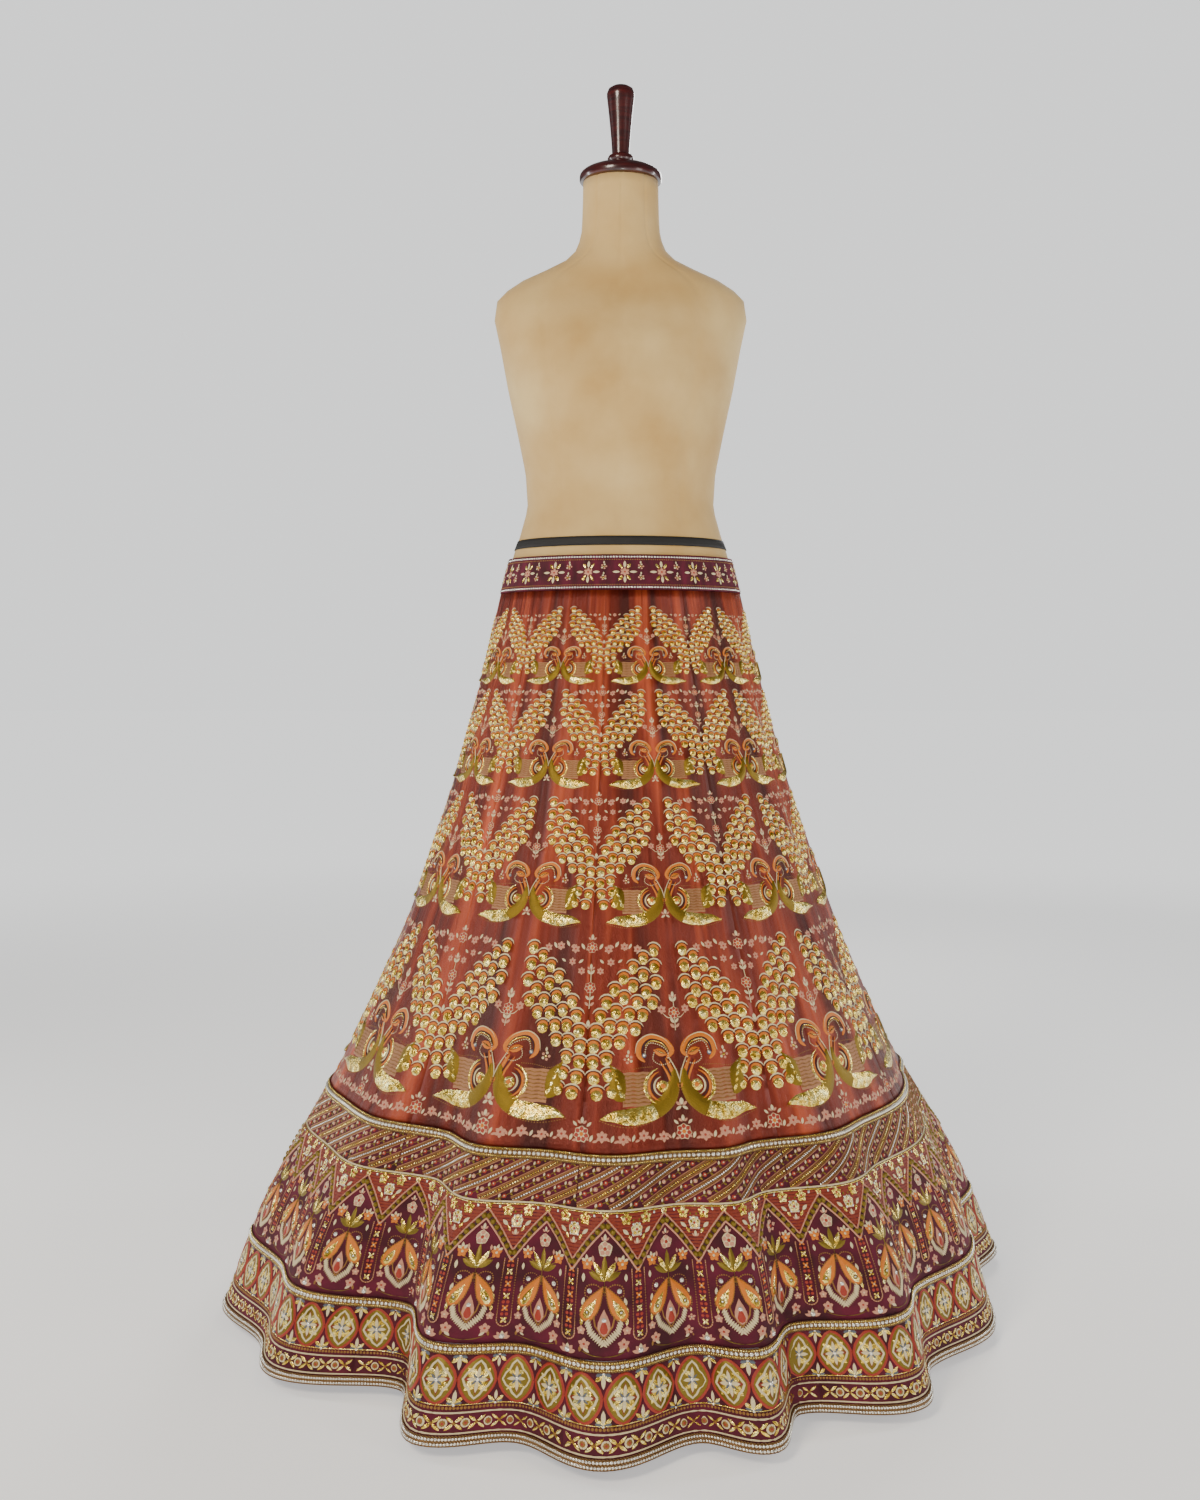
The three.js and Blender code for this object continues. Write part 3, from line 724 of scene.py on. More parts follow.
# Neck and head: a curl of amber silk over the shoulder, which ends in a stone.
peacock.line(curve([(2, 44), (6, 60), (15, 80)]), 5.5, 1.3, "amber")
peacock.line(curve([(-0.5, 50), (3, 64), (11, 82)]), 1.5, 0.9, "cream", 0.5)
peacock.line(curve([(6, 46), (10, 60), (19, 78)]), 1.8, 1.0, "maroon", 0.3)
peacock.line(curve([(10, 46), (13, 60), (22, 77)]), 3.0, 1.0, "amber")
peacock.line(curve([(14, 80), (7, 89), (16, 101), (33, 105), (45, 97), (47, 84), (40, 76)]), 10.5, 1.5, "amber")
peacock.line(curve([(10, 88), (18, 99), (33, 102.5), (42, 95), (44, 84)]), 3.4, 1.2, "maroon", 1.1)
peacock.line(curve([(12, 90), (19, 98.5), (32, 101.5), (40, 95)]), 1.5, 1.0, "foil", 2.0)
peacock.beads(curve([(12, 79), (12, 88), (19, 95), (32, 99), (38, 94), (40, 84)]), 0.9, 2.8, "cream", 0.7)
peacock.line(curve([(7, 93), (16, 104.5), (33, 109.5), (48, 101), (52, 86)]), 1.6, 1.0, "cream", 0.2)
peacock.beads(curve([(12, 82), (9, 76), (20, 72), (30, 78), (28, 88)]), 1.0, 2.6, "cream")
peacock.raised(leaf(12, 84, 20, 19, 10), 1.4, "amber", 0.6)
peacock.line([(14, 85), (20, 87), (27, 90)], 2.6, 1.0, "maroon", 1.3)
peacock.line([(15, 85.4), (20, 87), (25, 89)], 1.0, 0.7, "foil", 2.0)
peacock.dot(41, 84, 3.4, "slate", 1.2, 8)
peacock.dot(41, 84, 1.9, "stone", 2.0, 6, 0.8)
berries = Needlework()
for k, turn in enumerate(range(0, 360, 72)):
    berries.dot(*turned([(4.2, 0)], 0, 0, turn)[0], 2.1, "cream" if k % 2 else "pink", 1.5, 6)
berries.dot(0, 0, 1.8, "foil", 1.8, 6)
berries.petal(0, 5, 90, 7, 3.6, "cream", 0.9)
peacock.place(berries, 60, 80)

# ---------------------------------------------------------------- sprigs and vine
# Pink and cream silk flowers fill the ground: a spray over each pair of heads, a tree between the tails,
# and a vine of rosettes along the kali's foot.

rosette = blossom(10.5, 7, "coral", "amber", "cream")
small_blossom = blossom(7.0, 6, "pink", "coral")
bud = Needlework()
bud.petal(0, 0, 90, 9, 4.6, "cream", 0.9)
bud.petal(-0.5, 0, 140, 7, 3.4, "pink", 0.8)
bud.petal(0.5, 0, 40, 7, 3.4, "pink", 0.8)


def spray(height, flowers):
    """An upright sprig: a stem with a rosette, side flowers and paired leaves."""
    work = Needlework()
    work.line([(0, -height * 0.5), (0.6, 0), (0, height * 0.5)], 1.3, 0.6, "cream", taper=False)
    work.place(rosette, 0, 0, 0.85)
    for side in (-1, 1):
        if flowers:
            work.place(small_blossom, side * 16, height * 0.10, 0.9)
            work.line(curve([(0, -4), (side * 8, -6), (side * 15, 0)]), 1.2, 0.6, "cream")
        for k, y in enumerate((-0.44, -0.30, 0.30)):
            work.petal(0, height * y, 90 - side * (48 - 6 * k), 9, 4.2, ("pink", "cream", "cream")[k], 0.9)
    work.place(bud, 0, height * 0.42)
    return work


head_spray = spray(44, True)
tail_tree = spray(56, False)
tail_tree.place(small_blossom, -13, 22, 0.8)
tail_tree.place(small_blossom, 13, 22, 0.8)
for side in (-1, 1):
    tail_tree.place(small_blossom, side * 27, 34, 0.85)
    tail_tree.petal(side * 18, 32, 90 + side * 50, 9, 3.8, "cream")
    tail_tree.petal(side * 36, 33, 90 - side * 60, 9, 3.8, "cream")

garland = Needlework()
garland.place(rosette, 0, 0, 0.8)
garland.place(bud, 0, 9)
for side in (-1, 1):
    for x, y in ((21, -2), (41, 1), (58, -2)):
        garland.place(small_blossom, side * x, y, 0.9)
        garland.petal(side * (x - 12), y - 1, 90 - side * 30, 10, 4.2, "cream")
        garland.petal(side * (x - 13), y - 2, 90 + side * 50, 8, 3.6, "pink")

pair = Needlework()
for mirror in (False, True):
    pair.place(peacock, 0, 0, mirror=mirror)
pair.place(head_spray, 0, 136)
pair.place(bud, 0, 22, 1.2)
pair.petal(0, 22, 215, 9, 4, "cream")
pair.petal(0, 22, 325, 9, 4, "cream")

vine = Needlework()
VINE_STEPS = 10
VINE_STEP = 26.0
for k in range(VINE_STEPS):
    x = (k - VINE_STEPS / 2) * VINE_STEP
    if k % 5 == 0:
        vine.place(rosette, x, 4, 1.1)
        vine.place(bud, x, 16, 1.1)
        vine.petal(x - 6, 13, 135, 9, 4, "cream")
        vine.petal(x + 6, 13, 45, 9, 4, "cream")
    else:
        vine.place(small_blossom, x, 2 if k % 2 else -1, 1.15)
    middle = x + VINE_STEP / 2
    vine.petal(middle - 2, -5, 70, 10, 4.4, "cream")
    vine.petal(middle + 1, -5, 20, 8, 3.8, "pink")
    vine.petal(middle - 3, -4, 130, 8, 3.8, "pink")

# The tiers: height of the breasts above the hem, and the height at which the kali's width is taken.
TIERS = [(345, 450), (572, 650), (748, 810), (888, 940)]
PAIR_WIDTH = 222.0


def kali_width(height):
    """Mean width of a kali's cloth at a height, in mm, round its folds."""
    ring = cloth(np.arange(0, 360, 0.5), np.full(720, float(height)))
    return float(np.linalg.norm(ring - np.roll(ring, 1, axis=0), axis=1).sum()) / KALIS / MM


def upright(height):
    """Height gained for each mm up the sloping cloth."""
    flare = (column_at(1, np.array([height - 10.0])) - column_at(1, np.array([height + 10.0])))[0] / 20
    return 1 / math.sqrt(1 + flare**2)


def stitch(work, at, height, motif, scale=1.0, lift=0.0, mirror=False, turn=0.0):
    """Places a motif drawn in mm on the kali: at is its share of the width."""
    work.place(motif, at, height, scale / kali_width(height), scale * upright(height), mirror, turn, lift)


kali_work = Needlework()
for breast_height, width_height in TIERS:
    scale = kali_width(width_height) / PAIR_WIDTH
    kali_work.place(pair, 0.5, breast_height, 1 / PAIR_WIDTH, scale * upright(width_height))
    stitch(kali_work, 0.0, breast_height + 168 * scale * upright(width_height), tail_tree, scale * 0.95)
    stitch(kali_work, 0.0, breast_height + 118 * scale * upright(width_height), bud, scale * 1.2)
for breast_height, width_height in TIERS[:3]:
    scale = kali_width(width_height) / PAIR_WIDTH
    stitch(kali_work, 0.0, breast_height + 219 * scale * upright(width_height), garland, scale)
stitch(kali_work, 0.5, 333, vine, kali_width(333) / (VINE_STEPS * VINE_STEP))


def sew(name, work, kali, lift):
    """Lays a piece of work on one kali and its bands, just above the cloth."""
    flat = np.array(work.points)
    points = lifted(kali + flat[:, 0], flat[:, 1], flat[:, 2] + lift)
    piece = mesh_object(name, points, work.faces, list(THREADS.values()), np.array(work.threads, dtype=np.int32))
    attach(piece, "root")
    return piece


kali_embroidery = [sew(f"peacock_embroidery_{k + 1:02d}", kali_work, k, CLOTH - 0.15) for k in range(KALIS)]

# ---------------------------------------------------------------- striped band
# Zari braid and a flower vine run in turn up the band at a slant, and start afresh at every seam.

STRIPES = 7
stripe_height = (BAND_EDGES["stripe_band"][1] - 12 - BAND_EDGES["stripe_band"][0]) / upright(280)
stripe_pitch = kali_width(280) / STRIPES
STRIPE_RUN = 96.0

stripe_work = Needlework()
stripe_foot = BAND_EDGES["stripe_band"][0] + 2
to_share = 1 / kali_width(280)
to_height = upright(280)
slants = Needlework()
band_width = kali_width(280)
slant_length = math.hypot(STRIPE_RUN, stripe_height)


def slant(start, aside=0.0, points=12):
    """A stripe's line from the band's foot to its head, aside square to it in mm, cut off at the kali's seams."""
    shift = start - aside * stripe_height / slant_length
    low = max(0.0, (0.6 - shift) / STRIPE_RUN)
    high = min(1.0, (band_width - 0.6 - shift) / STRIPE_RUN)
    if high - low < 0.08:
        return []
    marks = [low + (high - low) * i / (points - 1) for i in range(points)]
    return [(shift + STRIPE_RUN * m, min(max(stripe_height * m + aside * STRIPE_RUN / slant_length, 0), stripe_height))
            for m in marks]


for k in range(-3, STRIPES):
    start = k * stripe_pitch
    for aside, width, height, thread in ((-4.2, 1.6, 1.0, "mesh"), (-2.3, 1.6, 1.4, "zari"), (2.3, 1.6, 1.4, "zari"),
                                         (4.2, 1.6, 1.0, "mesh")):
        if slant(start, aside):
            slants.line(slant(start, aside), width, height, thread, taper=False)
    if slant(start):
        slants.beads(slant(start), 1.5, 3.4, "stone" if k % 2 else "foil")
    vine_line = [(x, y + 1.2 * math.sin(x / 4)) for x, y in slant(start + stripe_pitch / 2)]
    if not vine_line:
        continue
    slants.line(vine_line, 1.0, 0.6, "olive", taper=False)
    for n, (x, y) in enumerate(even_steps(vine_line, 7.5)):
        if n % 2:
            slants.dot(x, y, 3.0, "coral" if n % 4 == 1 else "pink", 1.6, 6)
            slants.dot(x, y, 1.1, "cream", 1.0, 5, 1.4)
        else:
            slants.petal(x, y, 75, 6, 3.2, "cream", 0.9, 0.0, 6)
            slants.petal(x, y, -40, 5, 3.0, "olive", 0.9, 0.0, 6)
stripe_work.place(slants, 0, stripe_foot, to_share, to_height)

# ---------------------------------------------------------------- arch panel
# Four pointed arches stand on each kali. A braid of beads makes the arches, a column of coral knots
# divides them, rust silk fills the ground above them, and each holds a vase of flowers over two paisley drops.

ARCHES = 4
panel_foot, panel_head = BAND_EDGES["arch_panel"]
PANEL_MIDDLE = 184
CELL = kali_width(PANEL_MIDDLE) / ARCHES
HALF = CELL / 2
PANEL = (panel_head - panel_foot) / upright(PANEL_MIDDLE)
SPRING = PANEL * 0.69
APEX = PANEL * 0.955
COLUMN = 8.0

arch = Needlework()
left_arm = [(-HALF, SPRING - 5), (-HALF * 0.5, SPRING + (APEX - SPRING) * 0.52), (0, APEX)]
right_arm = [(-x, y) for x, y in reversed(left_arm)]
ROW = 4.0
for row in range(int((PANEL - SPRING) / ROW)):
    y = SPRING + ROW * (row + 0.5)
    inner = HALF * max(0.0, 1 - (y + 4 - SPRING) / (APEX - SPRING)) + 0.5
    for side in (-1, 1):
        steps = max(2, round((HALF - inner) / 7) + 1)
        run = [(side * (inner + (HALF - inner) * i / (steps - 1)), y + 0.5 * (i % 2)) for i in range(steps)]
        if HALF - inner > 3:
            arch.line(run if side > 0 else list(reversed(run)), ROW * 1.02, 0.8, "rust", taper=False)
for side in (-1, 1):
    arm = left_arm if side < 0 else right_arm
    for shift, width, height, thread in ((0, 2.4, 1.7, "pink"), (-6, 9.0, 0.6, "maroon"), (-12, 2.4, 1.7, "pink")):
        path = curve([(x, y + shift) for x, y in arm], 3)
        arch.line(path, width, height, thread, 0.2, taper=False)
    arch.beads([(x, y - 6) for x, y in arm], 3.9, 9.4, "olive", 0.5, 8)
    arch.beads([(x, y - 6) for x, y in arm], 1.4, 9.4, "zari", 3.0, 5)
    arch.beads([(x, y + 2.2) for x, y in arm], 1.0, 3.2, "coral", 0.2)
for x in (-HALF * 0.66, 0, HALF * 0.66):
    y = PANEL - (9 if x else 5.5)
    arch.place(blossom(8.0 if x else 4.6, 5, "foil", "coral"), x, y, lift=0.6)
for x, y in ((-HALF * 0.9, PANEL - 16), (HALF * 0.9, PANEL - 16), (-HALF * 0.36, PANEL - 5), (HALF * 0.36, PANEL - 5),
             (-HALF * 0.88, PANEL - 28), (HALF * 0.88, PANEL - 28)):
    arch.dot(x, y, 1.8, "stone", 1.6, 6, 0.4)
    arch.petal(x, y + 2, 90, 5, 2.6, "olive", 0.8, 0.4, 6)

arch.place(blossom(8.2, 5, "foil", "coral", "cream"), HALF, PANEL - 22, lift=0.8)
arch.place(bud, HALF, PANEL - 38, 0.8, lift=0.8)
for side in (-1, 1):
    arch.petal(HALF + side * 11, PANEL - 27, 90 - side * 50, 10, 4.4, "cream", 1.0, 0.8)
    arch.petal(HALF + side * 7, PANEL - 34, 90 - side * 30, 8, 3.6, "foil", 1.0, 0.8)

column = Needlework()
column.raised([(-COLUMN, 26), (0, 20), (COLUMN, 26), (COLUMN, SPRING - 10), (0, SPRING - 2), (-COLUMN, SPRING - 10)],
              0.25, "maroon", 0.96)
u_shape = [(-COLUMN, SPRING - 14), (-COLUMN, 28)] + arc(0, 28, COLUMN, 180, 360, 6) + [(COLUMN, SPRING - 14)]
column.line(u_shape, 1.5, 1.2, "pink", 0.1, taper=False)
column.beads(u_shape, 0.9, 3.0, "zari", 0.9)
for k, (x, y) in enumerate(even_steps([(0, 24), (0, SPRING - 12)], 7.2)):
    if k % 2:
        column.dot(-2.6, y, 2.1, "coral", 1.6, 6, 0.2)
        column.dot(2.6, y, 2.1, "coral", 1.6, 6, 0.2)
    else:
        for turn in (45, 135, 225, 315):
            column.petal(0, y, turn, 5.0, 2.6, "amber" if k % 4 else "foil", 1.1, 0.2, 6)
        column.dot(0, y, 1.2, "cream", 1.6, 5, 0.6)
for turn in (20, 55, 90, 125, 160):
    column.petal(0, 5, turn, 11, 5.2, "cream" if turn == 90 else "pink", 1.0)
column.dot(0, 8, 3.4, "stone", 2.2, 8, 0.6)
arch.place(column, HALF, 0)

niche = Needlework()
bloom_height = SPRING + (APEX - SPRING) * 0.22
niche.place(blossom(9.5, 5, "pink", "coral", "cream"), 0, bloom_height)
niche.place(bud, 0, bloom_height + 9, 0.9)
vase = SPRING - 26
for turn, length, thread in ((28, 22, "olive"), (58, 26, "foil"), (90, 29, "olive"), (122, 26, "foil"), (152, 22, "olive")):
    niche.petal(0, vase, turn, length, 7.2, thread, 1.7)
niche.line([(0, vase + 2), (0, vase - 16)], 4.0, 1.3, "olive")
for side in (-1, 1):
    niche.line(curve([(0, vase + 4), (side * 12, vase + 10), (side * 22, vase + 16)]), 1.2, 0.7, "olive")
    niche.place(blossom(7.6, 5, "amber", "cream"), side * 21, vase + 18)
    for turn, length in ((80, 9), (25, 9), (130, 8)):
        niche.petal(side * 21, vase + 20, 90 + side * (turn - 90), length, 4.2, "cream", 0.9)
    niche.petal(side * 25, vase + 8, 270, 10, 4.4, "cream", 0.9)
    niche.petal(side * 14, vase + 20, 95, 8, 3.6, "pink", 0.9)
    scroll = curve([(0, vase - 12), (side * 9, vase - 4), (side * 20, vase - 6), (side * 22, vase - 16), (side * 15, vase - 18)])
    niche.beads(scroll, 1.1, 2.8, "zari")
    niche.dot(side * 17, vase - 11, 3.0, "stone", 2.0, 7, 0.2)
    length = 45
    paisley = drop(side * 1.0, vase - 5, -90 + side * 30, length, 19, 14)
    niche.raised(paisley, 1.6, "amber", 0.72)
    niche.beads(paisley + paisley[:1], 1.1, 2.8, "zari", 0.3)
    niche.raised(drop(side * 8, vase - 18, -90 + side * 30, 27, 10, 10), 1.1, "foil", 0.6, 1.2)
    eye_x, eye_y = turned([(length * 0.76, 0)], side * 1.0, vase - 5, -90 + side * 30)[0]
    niche.dot(eye_x, eye_y, 3.3, "olive", 0.9, 8, 1.9)
    niche.dot(eye_x, eye_y, 1.6, "stone", 1.0, 6, 2.5)
    chevron = [(side * 19, 44), (side * 15, 32), (0, 18)]
    for x, y in even_steps(chevron, 2.7):
        niche.petal(x + side * 2.6, y - 3.4, 90 + side * 38, 9.5, 2.9, "cream", 1.7, 0.0, 6)
    niche.line([(x * 0.62, y + 7) for x, y in chevron], 2.0, 1.0, "zari", taper=False)
    niche.place(blossom(7.0, 5, "pink", "coral"), side * 21, 18)
    niche.place(blossom(5.4, 5, "pink", "cream"), side * 25, 33)
    niche.petal(side * 25, 38, 90, 9, 4, "foil", 1.0)
    niche.petal(side * 25, 60, 90 + side * 12, 10, 4, "cream", 1.0)
    niche.petal(side * 27, 52, 90 + side * 20, 9, 3.6, "foil", 1.0)
    niche.petal(side * 15, 9, 90 - side * 55, 9, 4.0, "cream", 0.9)
    niche.petal(side * 26, 8, 90 + side * 10, 8, 3.6, "zari", 0.9)
    niche.line(curve([(0, 5), (side * 12, 6), (side * 24, 10)]), 1.0, 0.6, "olive")
niche.raised(drop(0, 58, -90, 30, 15, 12), 1.5, "pink", 0.66)
niche.raised(drop(0, 47, -90, 17, 9, 10), 1.0, "coral", 0.6, 1.2)
niche.dot(0, 46, 2.6, "stone", 1.2, 7, 1.9)
arch.place(niche, 0, 0)

arch_work = Needlework()
for k in range(ARCHES):
    arch_work.place(arch, (k + 0.5) / ARCHES, panel_foot, 1 / kali_width(PANEL_MIDDLE), upright(PANEL_MIDDLE))
gold_edge = [(i / 36, 0.0) for i in range(37)]
edge_work = Needlework()
edge_work.line([(x * kali_width(258), 0) for x, _ in gold_edge], 2.4, 1.3, "cream", taper=False)
edge_work.line([(x * kali_width(258), -2.6) for x, _ in gold_edge], 1.4, 1.0, "foil", taper=False)
stripe_work.place(edge_work, 0, BAND_EDGES["stripe_band"][0] + 0.6, 1 / kali_width(258), upright(258))

# ---------------------------------------------------------------- hem band
# Rounded lozenges of coral satin stitch, each with a cross of four cream petals, stand over a narrow
# border of gold discs and crosses between two stitched lines.

MEDALLIONS = 8
MEDALLION_LOW, MEDALLION_HIGH = 40, 98
MEDALLION_MIDDLE = 69
pitch = kali_width(MEDALLION_MIDDLE) / MEDALLIONS
tall = (MEDALLION_HIGH - MEDALLION_LOW) / upright(MEDALLION_MIDDLE)


def lozenge(width, height, sides=20, lobes=0.02):
    """A rounded lozenge with four soft lobes."""
    points = []
    for i in range(sides):
        t = 2 * math.pi * i / sides
        swell = 1 - lobes * math.cos(4 * t) * -1
        points.append((width / 2 * math.cos(t) * swell * (1 - 0.06 * abs(math.sin(2 * t))),
                       height / 2 * math.sin(t) * swell * (1 - 0.06 * abs(math.sin(2 * t)))))
    return points


medallion = Needlework()
outline = lozenge(pitch * 0.90, tall * 0.86)
medallion.raised(outline, 1.3, "olive", 0.93)
medallion.line(outline + outline[:1], 4.2, 1.9, "coral", 0.1, taper=False)
medallion.beads([(x * 1.05, y * 1.05) for x, y in outline + outline[:1]], 0.95, 2.9, "zari")
inner = lozenge(pitch * 0.64, tall * 0.62, 16, 0.14)
medallion.line(inner + inner[:1], 2.6, 0.9, "cream", 1.3, taper=False)
for turn in (45, 135, 225, 315):
    medallion.petal(0, 0, turn, pitch * 0.40, pitch * 0.24, "foil", 0.6, 1.2, 8)
for turn in (0, 90, 180, 270):
    medallion.petal(0, 0, turn, pitch * 0.38, pitch * 0.12, "rust", 0.5, 1.2, 6)
for k, turn in enumerate((0, 90, 180, 270)):
    medallion.petal(0, 0, turn, pitch * (0.27 if k % 2 == 0 else 0.33), 4.6, "cream", 1.2, 1.7)
    medallion.petal(0, 0, turn + 45, pitch * 0.20, 2.6, "slate", 0.8, 1.9, 6)
medallion.dot(0, 0, 2.6, "stone", 1.4, 8, 2.0)
triad = Needlework()
for turn, length, thread in ((90, 14, "cream"), (140, 11, "foil"), (40, 11, "foil"), (170, 8, "slate"), (10, 8, "slate")):
    triad.petal(0, 0, turn, length * 1.15, 5.2, thread, 1.1)
triad.dot(0, -1, 1.8, "stone", 1.6, 6)

hem_motifs = Needlework()
middle_height = tall / 2
for k in range(MEDALLIONS):
    x = (k + 0.5) * pitch
    hem_motifs.place(medallion, x, middle_height, turn=(6, -5, 3, -3)[k % 4])
    hem_motifs.place(triad, x + pitch / 2, 3.5, 1.0)
    hem_motifs.place(triad, x + pitch / 2, tall - 3.5, 1.0, -1.0, mirror=True)

for x in np.arange(MEDALLIONS * 2 + 1) * pitch / 2:
    hem_motifs.dot(float(min(max(x, 1.5), MEDALLIONS * pitch - 1.5)), tall + 0.5, 1.3, "zari", 1.2, 5)
hem_work = Needlework()
hem_work.place(hem_motifs, 0, MEDALLION_LOW + 2, 1 / kali_width(MEDALLION_MIDDLE), upright(MEDALLION_MIDDLE))

CROSSES = 15
cross_pitch = kali_width(24) / CROSSES
cross_tall = 22 / upright(24)
crosses = Needlework()
for k in range(CROSSES):
    x = (k + 0.5) * cross_pitch
    for turn in (38, 142, 218, 322):
        crosses.petal(x, cross_tall / 2, turn, 13, 4.0, "foil", 1.3, 0.0, 8)
    crosses.dot(x, cross_tall / 2, 2.4, "zari", 1.9, 6)
    disc_x = min(x + cross_pitch / 2, CROSSES * cross_pitch - 0.6)
    if k < CROSSES - 1:
        crosses.dot(disc_x, cross_tall / 2, 5.8, "cream", 0.9, 10)
        crosses.dot(disc_x, cross_tall / 2, 4.4, "zari", 1.3, 8, 0.3)
        crosses.dot(disc_x, cross_tall / 2, 1.7, "coral", 1.0, 6, 1.4)
run = [(CROSSES * cross_pitch * i / 40, 0.0) for i in range(41)]
for y in (0.0, cross_tall):
    crosses.line([(x, y) for x, _ in run], 2.2, 1.2, "cream", taper=False)
crosses.beads([(x, cross_tall + 5.4) for x, _ in run], 2.1, 4.3, "zari")
crosses.line([(x, cross_tall + 9.0) for x, _ in run], 1.4, 1.0, "foil", taper=False)
hem_work.place(crosses, 0, 14, 1 / kali_width(24), upright(24))

# ---------------------------------------------------------------- braids
# Zari braid covers the seams between the kalis and each band below them, and binds the hem.
# Each braid runs once round and is joined at the back. Rows of clear stones and beads are sewn down on it.

braid_weave, shader = new_material("zari_braid_weave")
coordinates = add(braid_weave, "ShaderNodeUVMap", {"uv_map": "along_cloth"})
picks = add(braid_weave, "ShaderNodeTexWave", {"wave_type": "BANDS", "bands_direction": "DIAGONAL"},
            Vector=(coordinates, "UV"), Scale=240.0, Distortion=2.0, Detail=1.0)
wear = add(braid_weave, "ShaderNodeTexNoise", Vector=(coordinates, "UV"), Scale=90.0, Detail=3.0)
mixed = add(braid_weave, "ShaderNodeMath", {"operation": "MULTIPLY_ADD"}, i0=(wear, "Fac"), i1=0.7, i2=(picks, "Fac"))
colour = add(braid_weave, "ShaderNodeValToRGB", Fac=(mixed, "Value"))
colour.color_ramp.elements[0].position = 0.3
colour.color_ramp.elements[0].color = linear("#24130a")
colour.color_ramp.elements[1].position = 1.0
colour.color_ramp.elements[1].color = linear("#8d683a")
braid_weave.node_tree.links.new(colour.outputs["Color"], shader.inputs["Base Color"])
bump = add(braid_weave, "ShaderNodeBump", Strength=0.7, Distance=0.0006, Height=(picks, "Fac"))
braid_weave.node_tree.links.new(bump.outputs["Normal"], shader.inputs["Normal"])
fix(shader, Roughness=0.45, Metallic=0.5)

BRAID = 1.5
BRAID_LIFT = 0.4
BACK_SEAM = 5
ring_places = np.linspace(BACK_SEAM + 0.0005, BACK_SEAM + KALIS - 0.0005, 401)


def round_work(name, foot, lift, rows):
    """Rows of beads or stones all the way round: each row has a height, radius, spacing, thread and sides."""
    work = Needlework()
    for height, radius, spacing, thread, sides in rows:
        width = kali_width(height)
        count = round(width * KALIS / spacing)
        bead = Needlework()
        bead.dot(0, 0, radius, thread, radius * 0.95, sides)
        for i in range(count):
            work.place(bead, BACK_SEAM + (i + 0.5) * KALIS / count, height, 1 / width, upright(height))
    flat = np.array(work.points)
    points = lifted(flat[:, 0], flat[:, 1], flat[:, 2] + lift)
    piece = mesh_object(name, points, work.faces, list(THREADS.values()), np.array(work.threads, dtype=np.int32))
    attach(piece, "root")
    return piece


BRAIDS = {
    # name: (foot, head, rows of beads)
    "hem_braid": (0, 12, [(3.2, 1.7, 3.7, "stone", 6), (8.4, 1.7, 3.7, "stone", 6)]),
    "arch_braid": (98, 110, [(100.6, 1.0, 2.8, "foil", 5), (104.2, 2.3, 5.4, "stone", 6), (107.8, 1.0, 2.8, "foil", 5)]),
    "kali_braid": (304, 316, [(306.4, 1.0, 2.8, "foil", 5), (310.4, 2.5, 6.0, "stone", 8), (314.4, 1.0, 2.8, "foil", 5)]),
}
braids = {}
for name, (foot, head, bead_rows) in BRAIDS.items():
    edge = np.linspace(foot + 0.2, head - 0.2, 5)
    piece = cloth_shell(f"zari_{name}", ring_places, edge, VELVET + BRAID_LIFT, BRAID, braid_weave)
    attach(piece, "root")
    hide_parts(name)
    beads = round_work(f"beads_on_{name}", foot, VELVET + BRAID_LIFT + BRAID - 0.1, bead_rows)
    area, width, length = cloth_area(ring_places, edge)
    braids[name] = piece

# ---------------------------------------------------------------- waistband
# A straight band of the maroon velvet, folded double round the head of the kalis. Two beaded lines
# edge it and a vine of cream leaves and pink flowers runs between them.

WAIST_FOOT, WAIST_HEAD, WAISTBAND = 1020, 1070, 2.8
waist_heights = np.linspace(WAIST_FOOT + 0.4, WAIST_HEAD - 0.2, 9)
waistband = cloth_shell("velvet_waistband", ring_places, waist_heights, 0, WAISTBAND, maroon_velvet)
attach(waistband, "root")
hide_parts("waistband")

SPRIGS = 2
waist_work = Needlework()
sprig_pitch = kali_width(1045) / SPRIGS
waist_vine = Needlework()
for k in range(SPRIGS):
    x = (k + 0.5) * sprig_pitch
    waist_vine.place(small_blossom, x, 0, 0.95)
    for turn, length, thread in ((60, 15, "foil"), (120, 15, "foil"), (240, 15, "foil"), (300, 15, "foil"), (0, 16, "cream"),
                                 (180, 16, "cream"), (90, 17, "cream"), (270, 17, "cream")):
        x_foot, y_foot = turned([(5, 0)], x, 0, turn)[0]
        waist_vine.petal(x_foot, y_foot, turn, length - 5, 4.2, thread, 1.1)
    waist_vine.place(berries, x + sprig_pitch / 2 - 3, 8, 0.7)
    waist_vine.place(berries, x + sprig_pitch / 2 - 3, -8, 0.7, mirror=True)
waist_work.place(waist_vine, 0, 1045, 1 / kali_width(1045), upright(1045))
waist_embroidery = [sew(f"waistband_embroidery_{k + 1:02d}", waist_work, k, WAISTBAND - 0.15) for k in range(KALIS)]
waist_beads = round_work("waistband_beads", 0, WAISTBAND - 0.1, [
    (1023.5, 1.5, 3.6, "stone", 6), (1027.0, 1.0, 2.8, "zari", 5),
    (1062.5, 1.0, 2.8, "zari", 5), (1066.5, 1.5, 3.6, "stone", 6)])
area, width, length = cloth_area(ring_places, waist_heights)

# ---------------------------------------------------------------- the embroidery sewn on, and the cloth's cut
# Each kali and each length of band carries its own work. A kali is cut wide at the foot and narrow at the head.

